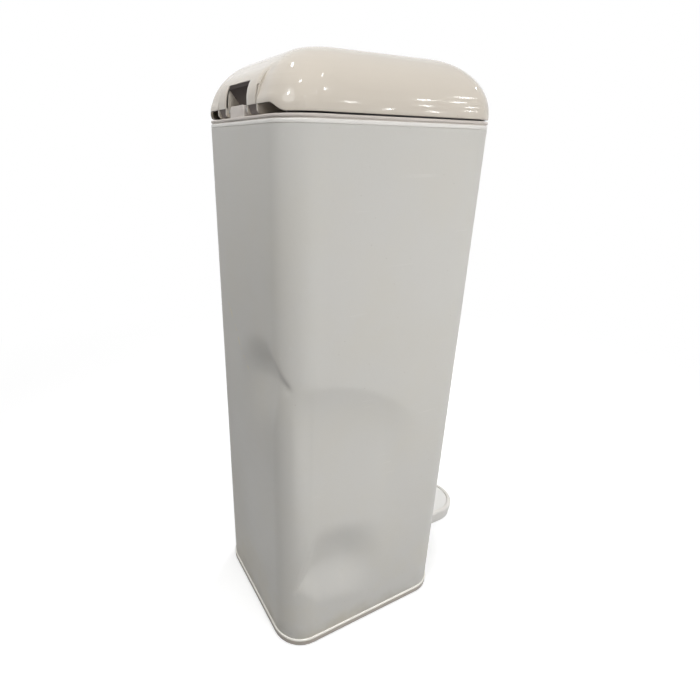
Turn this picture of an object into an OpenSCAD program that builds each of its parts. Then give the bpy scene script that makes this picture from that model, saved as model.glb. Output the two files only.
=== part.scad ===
// Pedal nappy bin: painted steel body, plastic base and collar, domed hinged lid.
// Millimetres. +Z is up, the pedal faces -Y, and the origin is the middle of the
// footprint on the floor.

/* [Body] */
// Width of the steel body, side to side
body_w = 200; // [184:1:240]
// Depth of the steel body, front to back
body_d = 228; // [212:1:270]
// Radius of the body's upright corners
corner_r = 34; // [30:1:40]
// Height of the collar's top face above the floor
rim_z = 584; // [480:1:700]
// Thickness of the painted steel sheet
sheet_t = 0.6; // [0.4:0.1:1.2]

/* [Base] */
// Height of the base's visible trim above the floor
trim_z = 8; // [7:0.5:12]
// How far the trim stands proud of the steel
trim_proud = 1.2; // [0.4:0.1:2]
// Height of the upright wall that locates the steel body
base_wall_z = 34; // [26:1:40]
// Wall thickness of the base moulding
base_wall = 2.4; // [2:0.1:3]
// Width of the rubber ring that the bin stands on
foot_w = 7; // [5:0.5:9]
// Height of the rubber ring
foot_h = 3; // [2.5:0.1:4]

/* [Collar and bucket] */
// Height of the bead round the top of the steel
band_h = 3.6; // [2.5:0.1:5]
// Height of the collar's own bead
bead_h = 2.6; // [2:0.1:4]
// Height of the groove between the two beads
groove_h = 0.8; // [0.5:0.1:1.2]
// Width of the collar's top face beside the mouth
land_w = 10; // [9.5:0.5:12]
// Width of the collar's top face behind the mouth
rear_land = 36; // [34:0.5:40]
// Wall thickness of the collar
collar_wall = 2.4; // [2:0.1:3]
// Width of the ledge that carries the bucket
ledge_w = 7; // [6:0.5:8]
// Wall thickness of the inner bucket
bucket_wall = 2; // [1.5:0.1:3]
// How much narrower the bucket's bottom is on each side
bucket_taper = 9; // [4:1:12]
// Height of the bucket's underside above the floor
bucket_z = 48; // [46:1:60]

/* [Lid] */
// Height of the domed lid above the gap
dome_h = 51.6; // [46:0.2:60]
// Width of the dome's curved shoulder, seen from above
dome_r = 55; // [50:1:60]
// Wall thickness of the lid shell
lid_wall = 2.6; // [2:0.1:3.2]
// Gap between the collar and the lid
lid_gap = 1.4; // [1:0.1:2]
// Width of the hinge housing at the back of the lid
hood_w = 90; // [84:1:100]
// Width of the open pocket in the hinge housing
pocket_w = 48; // [44:1:54]
// Width of the slits beside the hinge housing
slit_w = 1.4; // [1:0.1:2]
// Radius of the odour filter's cup
cup_r = 42; // [36:1:46]

/* [Hinge and linkage] */
// Angle that the lid opens
lid_open = 80; // [70:1:82]
// Distance of the hinge pin from the back of the body
hinge_setback = 4.6; // [4.4:0.1:5]
// Height of the hinge pin above the collar
hinge_rise = 5.5; // [5.3:0.1:6.5]
// Radius of the hinge pin
hinge_pin_r = 2; // [1.5:0.1:2.2]
// Length of the crank that the push rod lifts
crank_r = 16; // [15:0.5:17]
// Radius of the crank's pin
crank_pin_r = 1.75; // [1.5:0.05:2]
// Radius of the push rod
rod_r = 2.5; // [2:0.1:3]

/* [Pedal] */
// Width of the pedal
pedal_w = 80; // [70:1:90]
// How far the pedal reaches in front of the body
pedal_reach = 103; // [95:1:115]
// Gap between the body and the back of the pedal
pedal_gap = 6; // [5:0.5:12]
// Height of the pedal's top face at rest
pedal_z = 55; // [52:0.5:60]
// Height of the pedal moulding
pedal_h = 19; // [16:0.5:20]
// Wall thickness of the pedal moulding
pedal_wall = 2.5; // [2:0.1:3]
// Distance of the pedal's pivot behind the front of the body
pivot_setback = 69; // [64:1:74]
// Height of the pedal's pivot above the floor
pivot_z = 24; // [22:0.5:26]
// Radius of the pedal's pivot pin
pivot_pin_r = 2.5; // [2:0.1:3]
// Width of the steel lever
lever_w = 28; // [24:1:32]
// Thickness of the lever's steel
lever_t = 2.5; // [2:0.1:3]

/* [Hidden] */
$fn = 64;

// Clearances
fit = 0.15;        // between two fixed mouldings
soft_gap = 0.3;    // between a soft part and what it rests on
press = 0.02;      // round a pin that is pressed in
run = 0.05;        // round a pin that turns, all the way round
slack = 0.6;       // above and below the crank's pin in its slot
hook_play = 0.1;   // above and below the rod's hook in its slot
eps = 0.01;        // overshoot of a cut

// Levels and lines that several parts share
front_y = -body_d / 2;
back_y = body_d / 2;
floor_t = 2.5;                              // base floor
floor_z = foot_h + floor_t;                 // top of the base floor
foot_drop = foot_h / 2;                     // height of the trim's lower edge
foot_in = 5;                                // foot ring's distance from the outline
trim_in = 4;                                // the trim's inner face, in from the outline
base_boss_in = 16;                          // screw bosses, in from the outline
base_ledge = base_boss_in - 2;              // ledge over the edge of the base plate
base_boss_h = 6;
base_rib_h = 5;
bracket_t = 2;
bead_z = rim_z - bead_h;                    // underside of the collar's bead
band_z = bead_z - groove_h;                 // top of the edge band
sheet_z = band_z - band_h;                  // top edge of the steel
groove_d = 1.2;
band_t = 1.3;                               // skirt of the edge band
band_skirt = 11;
skirt_in = sheet_t + fit + band_t + fit;    // outer face of the collar's skirt
collar_skirt = 25;

// Mouth of the collar
mouth_w = body_w - 2 * land_w;
mouth_d = body_d - land_w - rear_land;
mouth_y = (land_w - rear_land) / 2;         // middle of the mouth
mouth_r = corner_r - 8;
ledge_z = rim_z - 8;                        // the ledge's top face
ledge_t = 2.5;
mouth_wall_z = ledge_z - ledge_t;
flange_t = 2.5;
flange_play = 1;                            // round the bucket's flange
bucket_w = mouth_w - 2 * ledge_w - 2;
bucket_d = mouth_d - 2 * ledge_w - 2;
bucket_r = max(mouth_r - ledge_w - 1, bucket_taper + bucket_wall + 1);
bucket_foot = 1.2;                          // chamfer under the bucket
ring_play = 1;
ring_wall = 1.6;
ring_skirt = 12;
ring_t = 2.4;

// Hinge and crank: the rod's pin swings evenly above and below the hinge pin
hinge_y = back_y - hinge_setback;
hinge_z = rim_z + hinge_rise;
half_open = lid_open / 2;
crank_y = hinge_y - crank_r * cos(half_open);
crank_z = hinge_z - crank_r * sin(half_open);
crank_shift = crank_r * (1 - cos(half_open));
rod_travel = 2 * crank_r * sin(half_open);
rod_y = crank_y - crank_shift / 2;
arm_t = 3;
arm_in = 6.5;                               // inner face of a crank arm
arm_boss_r = 4;
head_w = 2 * (arm_in - 1);
head_wall = 3;
head_slot_h = 2 * (crank_pin_r + slack);
head_slot_l = crank_shift + 2 * (crank_pin_r + slack);
head_y0 = rod_y - head_slot_l / 2 - head_wall;
head_y1 = rod_y + head_slot_l / 2 + head_wall;
head_z0 = crank_z - head_slot_h / 2 - head_wall;
head_z1 = crank_z + head_slot_h / 2 + head_wall;
stem_r = rod_r + 2.5;
stem_h = 12;
rod_slot_w = 2 * (arm_in + arm_t + 3);      // slot in the collar for head and crank
rod_slot_y0 = head_y0 - 2;
rod_slot_y1 = head_y1 + 1.5;
eye_z = head_z0 - stem_h - 14;              // upper guide of the rod
eye_t = 5;
eye_r = rod_r + 4;
mast_eye_z = 66;                            // lower guide of the rod
mast_y = back_y - trim_in - fit;
mast_w = 26;
mast_t = 4;
guide_w = 50;                               // foot of the mast
guide_d = 6.8;

// Lug on the collar that carries the hinge pin
lug_w = 36;
lug_top = hinge_z + hinge_pin_r + 1.8;
lug_y0 = hinge_y - hinge_pin_r - 1.8;
lug_y1 = back_y - 0.8;
lug_r = 5;

// Lid profile
lid_z = rim_z + lid_gap;                    // lower edge of the lid
dome_z = lid_z + 1.6;                       // where the curve begins
dome_top = lid_z + dome_h;
dome_v = dome_top - dome_z;
steps = 9;                                  // facets of the shoulder over a corner
cap_steps = 5;                              // facets of the crown
relief_z = rim_z + 8;                       // raised edge at the back of the lid
relief_end = body_w - 26;                   // width of the raised edge, its slopes included
relief_w = relief_end - 34;
slit_z = rim_z + 22.5;                      // top of the slits
hood_wall = 2.2;
ear_in = hood_w / 2 + slit_w;               // inner face of an ear
pin_reach = ear_in + hood_wall - fit;
hood_z = rim_z + 12;                        // where the housing's back begins to lean in
hood_knee = rim_z + 29;
hood_merge = 46;                            // angle on the dome where the housing runs out
cheek_r = hinge_setback + 0.3;              // round end of the cheeks
ramp_y = rod_slot_y0 + 2;                   // lower end of the pocket's sloping wall
ramp_z = hinge_z - 4.2;
ramp_t = 3;

// Liner, gasket and filter
liner_t = 2.5;
liner_z = lid_z + 4.1;                      // underside of the liner
liner_play = 0.5;
seal_w = mouth_w + 4.8;
seal_y0 = front_y + 7.6;
seal_y1 = mouth_y + mouth_d / 2 + 3.5;
seal_d = seal_y1 - seal_y0;
seal_y = (seal_y0 + seal_y1) / 2;
seal_r = mouth_r + 2;
seal_t = 4;
seal_play = 0.2;
rib_t = 1.5;
rib_h = 2.5;
liner_back = seal_y1 + seal_t / 2 + seal_play + rib_t + 0.8;
post_x = body_w / 2 - 40;
post_front = front_y + 40;
post_back = back_y - 54;
post_r = 4;
screw_r = 1.5;
screw_head_r = 3.4;
cup_wall = 2;
cup_y = mouth_y;
cup_h = 20;
cover_play = 0.5;
cover_r = cup_r - cover_play;
cover_t = 2.5;
cover_wall = 1.8;
cover_rise = 8;                             // wall that carries the bayonet lugs
lug_turn = 30;                              // turn of the bayonet
bayonet_w = 12;                             // angle that one lug covers
bayonet_h = 1.6;
bayonet_z = liner_z + 3.6;
disc_play = 3.5;
disc_t = 12;

// Pedal
pedal_tip = front_y - pedal_reach;
pedal_back = front_y - pedal_gap;
pedal_cy = pedal_tip + pedal_w / 2;         // middle of the round front
pedal_back_r = 10;
pedal_foot = pedal_z - pedal_h;
pedal_lip = 6;                              // lip round the inlay
inlay_t = 1.3;
inlay_drop = 0.5;                           // inlay below the lip
neck_z = pedal_foot + 5;                    // lever's middle line under the pedal
pedal_post_r = 5;
pedal_posts = [pedal_back - 22, pedal_tip + 38];
pivot_y = front_y + pivot_setback;
lever_rear = rod_y - pivot_y;
lever_tilt = asin(rod_travel / 2 / lever_rear);
hook_z = pivot_z - rod_travel / 2;          // the rod's hook at rest
hook_bend = 5;
hook_shift = 1;                             // slot's room for the hook's drift along Y
lever_eye_r = 7;
flange_in = lever_w / 2 - lever_t;
clip_t = 1.2;
clip_r = 6;
boss_in = lever_w / 2 + 3;                  // pivot bosses beside the lever
boss_t = 7;
boss_r = 8;
bracket_w = 2 * (boss_in + boss_t + 10);
bracket_d = 2 * (boss_r + 6);
slot_w = lever_w + 10;                      // slot in the steel for the lever
slot_z0 = pivot_z - 4;
slot_z1 = neck_z + 9;
slot_r = 4;
bezel_t = 1.6;
bezel_lip = 4;

white = [0.93, 0.92, 0.90];
cream = [0.86, 0.83, 0.79];
paint = [0.80, 0.80, 0.77];
grey = [0.62, 0.62, 0.62];
dark = [0.16, 0.16, 0.17];
steel = [0.72, 0.73, 0.75];

// ---- shapes that repeat ----

module plan(w, d, r) {
    // a rounded rectangle
    square([w - 2 * r, d], center = true);
    square([w, d - 2 * r], center = true);
    for (x = [-1, 1], y = [-1, 1])
        translate([x * (w / 2 - r), y * (d / 2 - r)])
            circle(r = r);
}

module slab(w, d, r, z0, z1) {
    translate([0, 0, z0])
        linear_extrude(z1 - z0)
            plan(w, d, r);
}

module around(w, d, r) {
    // sweeps a section round a rounded rectangle: its x runs outwards from the
    // outline, and its y is the height
    for (q = [0:3]) {
        half = (q % 2 == 0 ? w : d) / 2;
        side = (q % 2 == 0 ? d : w) - 2 * r;
        rotate(90 * q) {
            translate([half, side / 2, 0])
                rotate([90, 0, 0])
                    linear_extrude(side)
                        children();
            translate([half - r, side / 2, 0])
                rotate_extrude(angle = 90)
                    translate([r, 0])
                        children();
        }
    }
}

module strip(x0, x1, z0, z1) {
    // a rectangle of a section
    translate([x0, z0])
        square([x1 - x0, z1 - z0]);
}

module bead(depth, z0, z1) {
    // a strip whose outer edge is rounded
    h = z1 - z0;
    nose = min(0.8, h / 3);
    polygon([
        [-depth, z0], [-nose, z0], [-nose * 0.3, z0 + nose * 0.3], [0, z0 + nose],
        [0, z1 - nose], [-nose * 0.3, z1 - nose * 0.3], [-nose, z1], [-depth, z1]
    ]);
}

module along_x(x0, x1) {
    // extrudes a (y, z) outline from x0 to x1
    translate([x0, 0, 0])
        rotate([90, 0, 90])
            linear_extrude(x1 - x0)
                children();
}

module rod_x(r, x0, x1, y, z) {
    translate([x0, y, z])
        rotate([0, 90, 0])
            cylinder(r = r, h = x1 - x0);
}

module screw(x, y, z, length) {
    // a round head under z, and its shank above
    head_h = 2;
    translate([x, y, z - head_h]) {
        cylinder(r = screw_head_r, h = head_h);
        cylinder(r = screw_r, h = head_h + length);
    }
}

// ---- base ----

module foot_ring() {
    color(dark)
        around(body_w - 2 * foot_in, body_d - 2 * foot_in, corner_r - foot_in)
            strip(-foot_w, 0, 0, foot_h);
}

module at_base_bosses() {
    // the four screws that hold the plate in the ring, one in each corner
    reach = (corner_r - base_boss_in) * sin(45);
    for (x = [-1, 1], y = [-1, 1])
        translate([x * (body_w / 2 - corner_r + reach), y * (body_d / 2 - corner_r + reach), 0])
            children();
}

module base_ring() {
    // trim that shows below the steel, and the wall that locates the steel
    inside = sheet_t + fit;
    color(white)
        difference() {
            union() {
                around(body_w, body_d, corner_r)
                    translate([trim_proud, 0])
                        bead(trim_proud + trim_in, foot_drop, trim_z);
                around(body_w, body_d, corner_r)
                    strip(-inside - base_wall, -inside, foot_h, base_wall_z);
                around(body_w, body_d, corner_r)
                    strip(-base_ledge, -inside - 1, floor_z, trim_z);
                at_base_bosses()
                    translate([0, 0, floor_z])
                        cylinder(r = screw_r + 3, h = base_boss_h);
            }
            at_base_bosses()
                translate([0, 0, foot_h])
                    cylinder(r = screw_r + press, h = base_boss_h + 4);
            // way out for the lever
            translate([-slot_w / 2 - 2, front_y - 1, pivot_z - 10])
                cube([slot_w + 4, 12, base_wall_z]);
            // room for the foot of the rod's guide
            translate([-guide_w / 2 - fit, mast_y - base_ledge, floor_z])
                cube([guide_w + 2 * fit, base_ledge + fit, trim_z]);
        }
}

module base_plate() {
    inset = trim_in + fit;
    rib_y = [front_y * 0.7, back_y * 0.35];
    color(white)
        difference() {
            union() {
                slab(body_w - 2 * inset, body_d - 2 * inset, corner_r - inset, foot_h, floor_z);
                // stiffening ribs
                for (x = [-1, 1])
                    translate([x * body_w * 0.3 - 1, -body_d * 0.4, floor_z - eps])
                        cube([2, body_d * 0.8, base_rib_h]);
                for (y = rib_y, x = [-1, 1])
                    translate([x > 0 ? bracket_w / 2 + 2 : -body_w * 0.42, y, floor_z - eps])
                        cube([body_w * 0.42 - bracket_w / 2 - 2, 2, base_rib_h]);
            }
            at_base_bosses()
                translate([0, 0, foot_h - 1])
                    cylinder(r = screw_r + press, h = floor_t + 2);
            at_bracket_screws()
                cylinder(r = screw_r + press, h = floor_z + 1);
        }
}

module at_bracket_screws() {
    // the screws of the pivot bracket and of the rod's guide
    for (x = [-1, 1], y = [-1, 1])
        translate([x * (bracket_w / 2 - 5), pivot_y + y * (bracket_d / 2 - 5), 0])
            children();
    for (x = [-1, 1])
        translate([x * (guide_w / 2 - 5), mast_y - guide_d / 2, 0])
            children();
}

module pivot_bracket() {
    // a foot with two ears that hold the ends of the pedal's pin
    color(white)
        difference() {
            union() {
                translate([-bracket_w / 2, pivot_y - bracket_d / 2, floor_z])
                    cube([bracket_w, bracket_d, bracket_t]);
                for (x = [boss_in, -boss_in - boss_t])
                    along_x(x, x + boss_t) {
                        translate([pivot_y, pivot_z])
                            circle(r = boss_r);
                        translate([pivot_y - boss_r, floor_z + 1])
                            square([2 * boss_r, pivot_z - floor_z - 1]);
                    }
            }
            rod_x(pivot_pin_r + press, -bracket_w, bracket_w, pivot_y, pivot_z);
            at_bracket_screws()
                cylinder(r = screw_r + press, h = floor_z + bracket_t + 1);
        }
}

module rod_guide() {
    // a mast at the back of the base, with the rod's lower guide
    color(white)
        difference() {
            union() {
                translate([-guide_w / 2, mast_y - guide_d, floor_z])
                    cube([guide_w, guide_d, bracket_t]);
                translate([-mast_w / 2, mast_y - mast_t, floor_z])
                    cube([mast_w, mast_t, mast_eye_z + eye_t - floor_z]);
                translate([-eye_r, rod_y, mast_eye_z])
                    cube([2 * eye_r, mast_y - rod_y - 1, eye_t]);
                translate([0, rod_y, mast_eye_z])
                    cylinder(r = eye_r, h = eye_t);
            }
            translate([0, rod_y, mast_eye_z - 1])
                cylinder(r = rod_r + run, h = eye_t + 2);
            at_bracket_screws()
                cylinder(r = screw_r + press, h = floor_z + bracket_t + 1);
        }
}

module base_screws() {
    // the plate's screws from below, and the bracket's and the guide's from above
    color(steel) {
        at_base_bosses()
            screw(0, 0, foot_h, base_boss_h);
        at_bracket_screws()
            translate([0, 0, floor_z + bracket_t])
                mirror([0, 0, 1])
                    screw(0, 0, 0, bracket_t + floor_t - 0.2);
    }
}

module steel_body() {
    color(paint)
        difference() {
            around(body_w, body_d, corner_r)
                strip(-sheet_t, 0, trim_z, sheet_z);
            translate([0, front_y + 5, (slot_z0 + slot_z1) / 2])
                rotate([90, 0, 0])
                    slab(slot_w, slot_z1 - slot_z0, slot_r, 0, 10);
        }
}

module slot_bezel() {
    // lines the slot in the steel, with a lip outside it
    w = slot_w - 2 * fit;
    h = slot_z1 - slot_z0 - 2 * fit;
    wall = 1.6;
    color(white)
        translate([0, front_y, (slot_z0 + slot_z1) / 2])
            rotate([90, 0, 0])
                difference() {
                    union() {
                        slab(w, h, slot_r, -5, eps);
                        slab(w + 2 * bezel_lip, h + 2 * bezel_lip, slot_r + bezel_lip, 0, bezel_t);
                    }
                    slab(w - 2 * wall, h - 2 * wall, slot_r - wall, -6, bezel_t + 1);
                }
}

module pedal_pin() {
    reach = boss_in + boss_t + 3;
    color(steel)
        rod_x(pivot_pin_r, -reach, reach, pivot_y, pivot_z);
}

module pedal_pin_clips() {
    // a retaining washer at each end of the pivot pin
    color(steel)
        for (x = [boss_in + boss_t + fit, -boss_in - boss_t - fit - clip_t])
            difference() {
                rod_x(clip_r, x, x + clip_t, pivot_y, pivot_z);
                rod_x(pivot_pin_r + press, x - 1, x + clip_t + 1, pivot_y, pivot_z);
            }
}

// ---- collar, bucket and bag ring ----

module edge_band() {
    // caps the raw edge of the steel
    color(white)
        around(body_w, body_d, corner_r) {
            bead(sheet_t + fit + band_t, sheet_z, band_z);
            strip(-sheet_t - fit - band_t, -sheet_t - fit, sheet_z - band_skirt, sheet_z);
        }
}

module hinge_lug() {
    // a rounded tongue behind the mouth that carries the hinge pin
    difference() {
        translate([0, lug_y1, 0])
            rotate([90, 0, 0])
                linear_extrude(lug_y1 - lug_y0) {
                    translate([-lug_w / 2, bead_z])
                        square([lug_w, lug_top - lug_r - bead_z]);
                    translate([-lug_w / 2 + lug_r, bead_z])
                        square([lug_w - 2 * lug_r, lug_top - bead_z]);
                    for (x = [-1, 1])
                        translate([x * (lug_w / 2 - lug_r), lug_top - lug_r])
                            circle(r = lug_r);
                }
        rod_x(hinge_pin_r + press, -lug_w, lug_w, hinge_y, hinge_z);
    }
}

module rod_eye() {
    // the rod's upper guide, on a tongue of the back skirt
    tongue_y = back_y - skirt_in - collar_wall;
    difference() {
        union() {
            translate([-eye_r - 4, tongue_y, eye_z])
                cube([2 * eye_r + 8, collar_wall, rim_z - collar_skirt - eye_z + 1]);
            translate([-eye_r, rod_y, eye_z])
                cube([2 * eye_r, tongue_y - rod_y + eps, eye_t]);
            translate([0, rod_y, eye_z])
                cylinder(r = eye_r, h = eye_t);
        }
        translate([0, rod_y, eye_z - 1])
            cylinder(r = rod_r + run, h = eye_t + 2);
    }
}

module collar() {
    color(cream) {
        difference() {
            union() {
                slab(body_w - 2 * groove_d, body_d - 2 * groove_d, corner_r - groove_d, bead_z, rim_z);
                around(body_w, body_d, corner_r)
                    bead(groove_d + 1, bead_z, rim_z);
                around(body_w, body_d, corner_r)
                    strip(-skirt_in, -groove_d, band_z, bead_z);
                around(body_w, body_d, corner_r)
                    strip(-skirt_in - collar_wall, -skirt_in, rim_z - collar_skirt, rim_z - 1);
            }
            translate([0, mouth_y, 0])
                slab(mouth_w, mouth_d, mouth_r, rim_z - collar_skirt - 1, rim_z + 1);
            // slot for the push rod and the lid's crank
            translate([-rod_slot_w / 2, rod_slot_y0, bead_z - 1])
                cube([rod_slot_w, rod_slot_y1 - rod_slot_y0, bead_h + 2]);
        }
        // mouth, with the ledge for the bucket
        translate([0, mouth_y, 0])
            around(mouth_w, mouth_d, mouth_r) {
                strip(-eps, collar_wall, mouth_wall_z, bead_z + 1);
                strip(-ledge_w, collar_wall, mouth_wall_z, ledge_z);
            }
        hinge_lug();
        rod_eye();
    }
}

module inner_bucket() {
    // a pail with sloping walls, carried by its flange
    top = ledge_z + flange_t;
    foot = bucket_taper + bucket_wall / 2;
    color(grey)
        translate([0, mouth_y, 0]) {
            around(bucket_w, bucket_d, bucket_r) {
                polygon([
                    [0, top], [-bucket_taper, bucket_z + bucket_foot],
                    [-bucket_taper - bucket_foot, bucket_z],
                    [-bucket_taper - bucket_wall, bucket_z], [-bucket_wall, top]
                ]);
                strip(-bucket_wall / 2, ledge_w + 1 - flange_play, ledge_z, top);
            }
            slab(
                bucket_w - 2 * foot, bucket_d - 2 * foot, bucket_r - foot,
                bucket_z, bucket_z + bucket_wall
            );
        }
}

module bag_ring() {
    // lies on the bucket's flange and holds the bag's edge
    z0 = ledge_z + flange_t;
    inner_w = bucket_w - 2 * bucket_wall - 2 * ring_play - 2;
    inner_d = bucket_d - 2 * bucket_wall - 2 * ring_play - 2;
    inner_r = bucket_r - bucket_wall - ring_play - 1;
    lip = (mouth_w - inner_w) / 2 - flange_play - 1;
    color(white)
        translate([0, mouth_y, 0])
            difference() {
                around(inner_w, inner_d, inner_r) {
                    strip(-ring_wall, 0, z0 - ring_skirt, z0 + ring_t);
                    strip(-eps, lip, z0, z0 + ring_t);
                }
                // finger notches
                for (x = [-1, 1])
                    translate([x * (inner_w / 2 + lip), 0, z0 - 1])
                        cylinder(r = 9, h = ring_t + 2);
            }
}

module hinge_pin() {
    color(steel)
        rod_x(hinge_pin_r, -pin_reach, pin_reach, hinge_y, hinge_z);
}

// ---- lid ----

// Point of the dome's profile: how far in from the outline, and how high
function dome_in(wall, a) = wall + (dome_r - wall) * (1 - cos(a));
function dome_up(wall, a) = dome_z + (dome_v - wall) * sin(a);
// Angle at which the profile is a given distance in
function dome_angle(wall, inset) = acos(1 - (inset - wall) / (dome_r - wall));
function shoulder(wall, z0) = concat(
    [[wall, z0]],
    [for (i = [0:steps])
        let (a = dome_angle(wall, corner_r) * i / steps)
            [min(dome_in(wall, a), corner_r), dome_up(wall, a)]]
);
function crown(wall) = [
    for (i = [0:cap_steps])
        let (a = dome_angle(wall, corner_r) + (90 - dome_angle(wall, corner_r)) * i / cap_steps)
            [dome_in(wall, a), dome_up(wall, a)]
];

module shoulder_section(wall, z0) {
    // from the outline to the axis of the corner, for around()
    p = shoulder(wall, z0);
    polygon(concat([for (q = p) [-q[0], q[1]]], [[-corner_r, z0]]));
}

module crown_section(width, wall, z0) {
    // across the top, between the axes of two corners
    p = crown(wall);
    n = len(p) - 1;
    polygon(concat(
        [[width / 2 - corner_r, z0]],
        [for (q = p) [width / 2 - q[0], q[1]]],
        [for (i = [n:-1:0]) [p[i][0] - width / 2, p[i][1]]],
        [[corner_r - width / 2, z0]]
    ));
}

module dome(wall, z0) {
    // the lid as a solid, wall deep inside its outer face
    around(body_w, body_d, corner_r)
        shoulder_section(wall, z0);
    intersection() {
        translate([0, back_y, 0])
            rotate([90, 0, 0])
                linear_extrude(body_d)
                    crown_section(body_w, wall, z0);
        along_x(-body_w / 2, body_w / 2)
            crown_section(body_d, wall, z0);
    }
}

// Back of the hinge housing, seen from the side: a curve that leans in to meet the dome
hood_end = [back_y - dome_in(0, hood_merge), dome_up(0, hood_merge)];
function hood_curve(t) =
    (1 - t) * (1 - t) * [back_y, hood_z] + 2 * t * (1 - t) * [back_y, hood_knee] + t * t * hood_end;
pocket_top = hood_curve(0.5);
hood_back = concat([[back_y, hinge_z - 1]], [for (i = [0:8]) hood_curve(i / 8)]);

// Line in the middle of the dome's wall, from the back edge up to a given distance in
function in_wall(inset) = [
    for (i = [0:5])
        let (a = dome_angle(lid_wall / 2, inset) * i / 5)
            [back_y - dome_in(lid_wall / 2, a), dome_up(lid_wall / 2, a)]
];
function backwards(p) = [for (i = [len(p) - 1:-1:0]) p[i]];

module hood_outline() {
    // between the dome's wall and the back of the housing
    polygon(concat(hood_back, backwards(in_wall(back_y - hood_end[0]))));
}

module cheek_outline() {
    // a wall of the housing: round below the pin, and up to the dome's wall
    translate([hinge_y, hinge_z])
        circle(r = cheek_r);
    polygon(concat(
        [[ramp_y, ramp_z], [hinge_y, hinge_z - cheek_r], [back_y - lid_wall / 2, hinge_z]],
        in_wall(back_y - ramp_y)
    ));
}

module ramp_outline() {
    // the pocket's sloping wall, clear of the lug when the lid opens
    top = pocket_top + [-1, 0.5];
    polygon([
        [ramp_y, ramp_z], [ramp_y + ramp_t, ramp_z],
        top - [0, ramp_t], top, top - [1, 0]
    ]);
}

module crank_arm(x0) {
    along_x(x0, x0 + arm_t)
        difference() {
            union() {
                translate([crank_y, crank_z])
                    circle(r = arm_boss_r);
                polygon([
                    [crank_y - arm_boss_r, crank_z - 0.5], [ramp_y, ramp_z + 0.2],
                    [ramp_y + 6, ramp_z + 6], [crank_y + 2, ramp_z + 3],
                    [crank_y + arm_boss_r, crank_z + 0.5]
                ]);
            }
            translate([crank_y, crank_z])
                circle(r = crank_pin_r + press);
        }
}

module liner_posts() {
    // posts under the dome for the liner's screws
    difference() {
        intersection() {
            for (x = [-1, 1], y = [post_front, post_back])
                translate([x * post_x, y, liner_z + liner_t])
                    cylinder(r = post_r, h = dome_h);
            dome(lid_wall / 2, lid_z);
        }
        for (x = [-1, 1], y = [post_front, post_back])
            translate([x * post_x, y, liner_z])
                cylinder(r = screw_r + press, h = 16);
    }
}

module back_opening() {
    // the raised lower edge at the back, and the notch for the housing
    translate([0, back_y + 5, 0])
        rotate([90, 0, 0])
            linear_extrude(30) {
                polygon([
                    [-relief_end / 2, lid_z - 1], [relief_end / 2, lid_z - 1],
                    [relief_w / 2, relief_z], [-relief_w / 2, relief_z]
                ]);
                translate([-hood_w / 2 - slit_w, lid_z - 1])
                    square([hood_w + 2 * slit_w, slit_z - lid_z + 1]);
            }
}

module lid_shell() {
    color(cream) {
        difference() {
            dome(0, lid_z);
            dome(lid_wall, lid_z - 1);
            back_opening();
            // way into the pocket
            translate([-pocket_w / 2, back_y - 20, lid_z])
                cube([pocket_w, 30, pocket_top[1] - lid_z]);
        }
        difference() {
            union() {
                along_x(-hood_w / 2, hood_w / 2)
                    hood_outline();
                // inner walls beside the pocket, and ears beyond the slits
                for (x = [-ear_in - hood_wall, -pocket_w / 2 - hood_wall, pocket_w / 2, ear_in])
                    along_x(x, x + hood_wall)
                        cheek_outline();
                along_x(-pocket_w / 2 - 1, pocket_w / 2 + 1)
                    ramp_outline();
            }
            // the pocket, and the open lower part of each cheek
            along_x(-pocket_w / 2, pocket_w / 2)
                polygon([
                    [back_y + 1, lid_z - 2], [back_y + 1, pocket_top[1]],
                    pocket_top - [1, 0.5],
                    [ramp_y + ramp_t, ramp_z], [ramp_y + ramp_t, lid_z - 2]
                ]);
            for (x = [-hood_w / 2 - eps, pocket_w / 2 + hood_wall])
                along_x(x, x + (hood_w - pocket_w) / 2 - hood_wall + eps)
                    polygon([
                        [back_y + 1, lid_z - 3], [back_y + 1, relief_z],
                        [back_y - lid_wall, relief_z], [back_y - lid_wall - 4, lid_z - 3]
                    ]);
            rod_x(hinge_pin_r + run, -hood_w, hood_w, hinge_y, hinge_z);
        }
        for (x = [arm_in, -arm_in - arm_t])
            crank_arm(x);
        liner_posts();
    }
}

module crank_pin() {
    reach = arm_in + arm_t;
    color(steel)
        rod_x(crank_pin_r, -reach, reach, crank_y, crank_z);
}

module lid_liner() {
    inset = lid_wall + liner_play + 0.3;
    z1 = liner_z + liner_t;
    color(grey)
        difference() {
            union() {
                intersection() {
                    slab(body_w - 2 * inset, body_d - 2 * inset, corner_r - inset, liner_z, z1);
                    translate([-body_w / 2, front_y, liner_z - 1])
                        cube([body_w, liner_back - front_y, liner_t + 2]);
                }
                // channel for the gasket
                translate([0, seal_y, 0])
                    around(seal_w, seal_d, seal_r) {
                        strip(seal_t / 2 + seal_play, seal_t / 2 + seal_play + rib_t, liner_z - rib_h, liner_z + eps);
                        strip(-seal_t / 2 - seal_play - rib_t, -seal_t / 2 - seal_play, liner_z - rib_h, liner_z + eps);
                    }
                translate([0, cup_y, liner_z])
                    cylinder(r = cup_r + cup_wall, h = cup_h + cup_wall);
            }
            translate([0, cup_y, liner_z - 1])
                cylinder(r = cup_r, h = cup_h + 1);
            // bayonet slots
            for (a = [0, 120, 240])
                translate([0, cup_y, 0])
                    rotate(a)
                        bayonet_slot();
            for (x = [-1, 1], y = [post_front, post_back])
                translate([x * post_x, y, liner_z - 1])
                    cylinder(r = screw_r + 0.2, h = liner_t + 2);
        }
}

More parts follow.
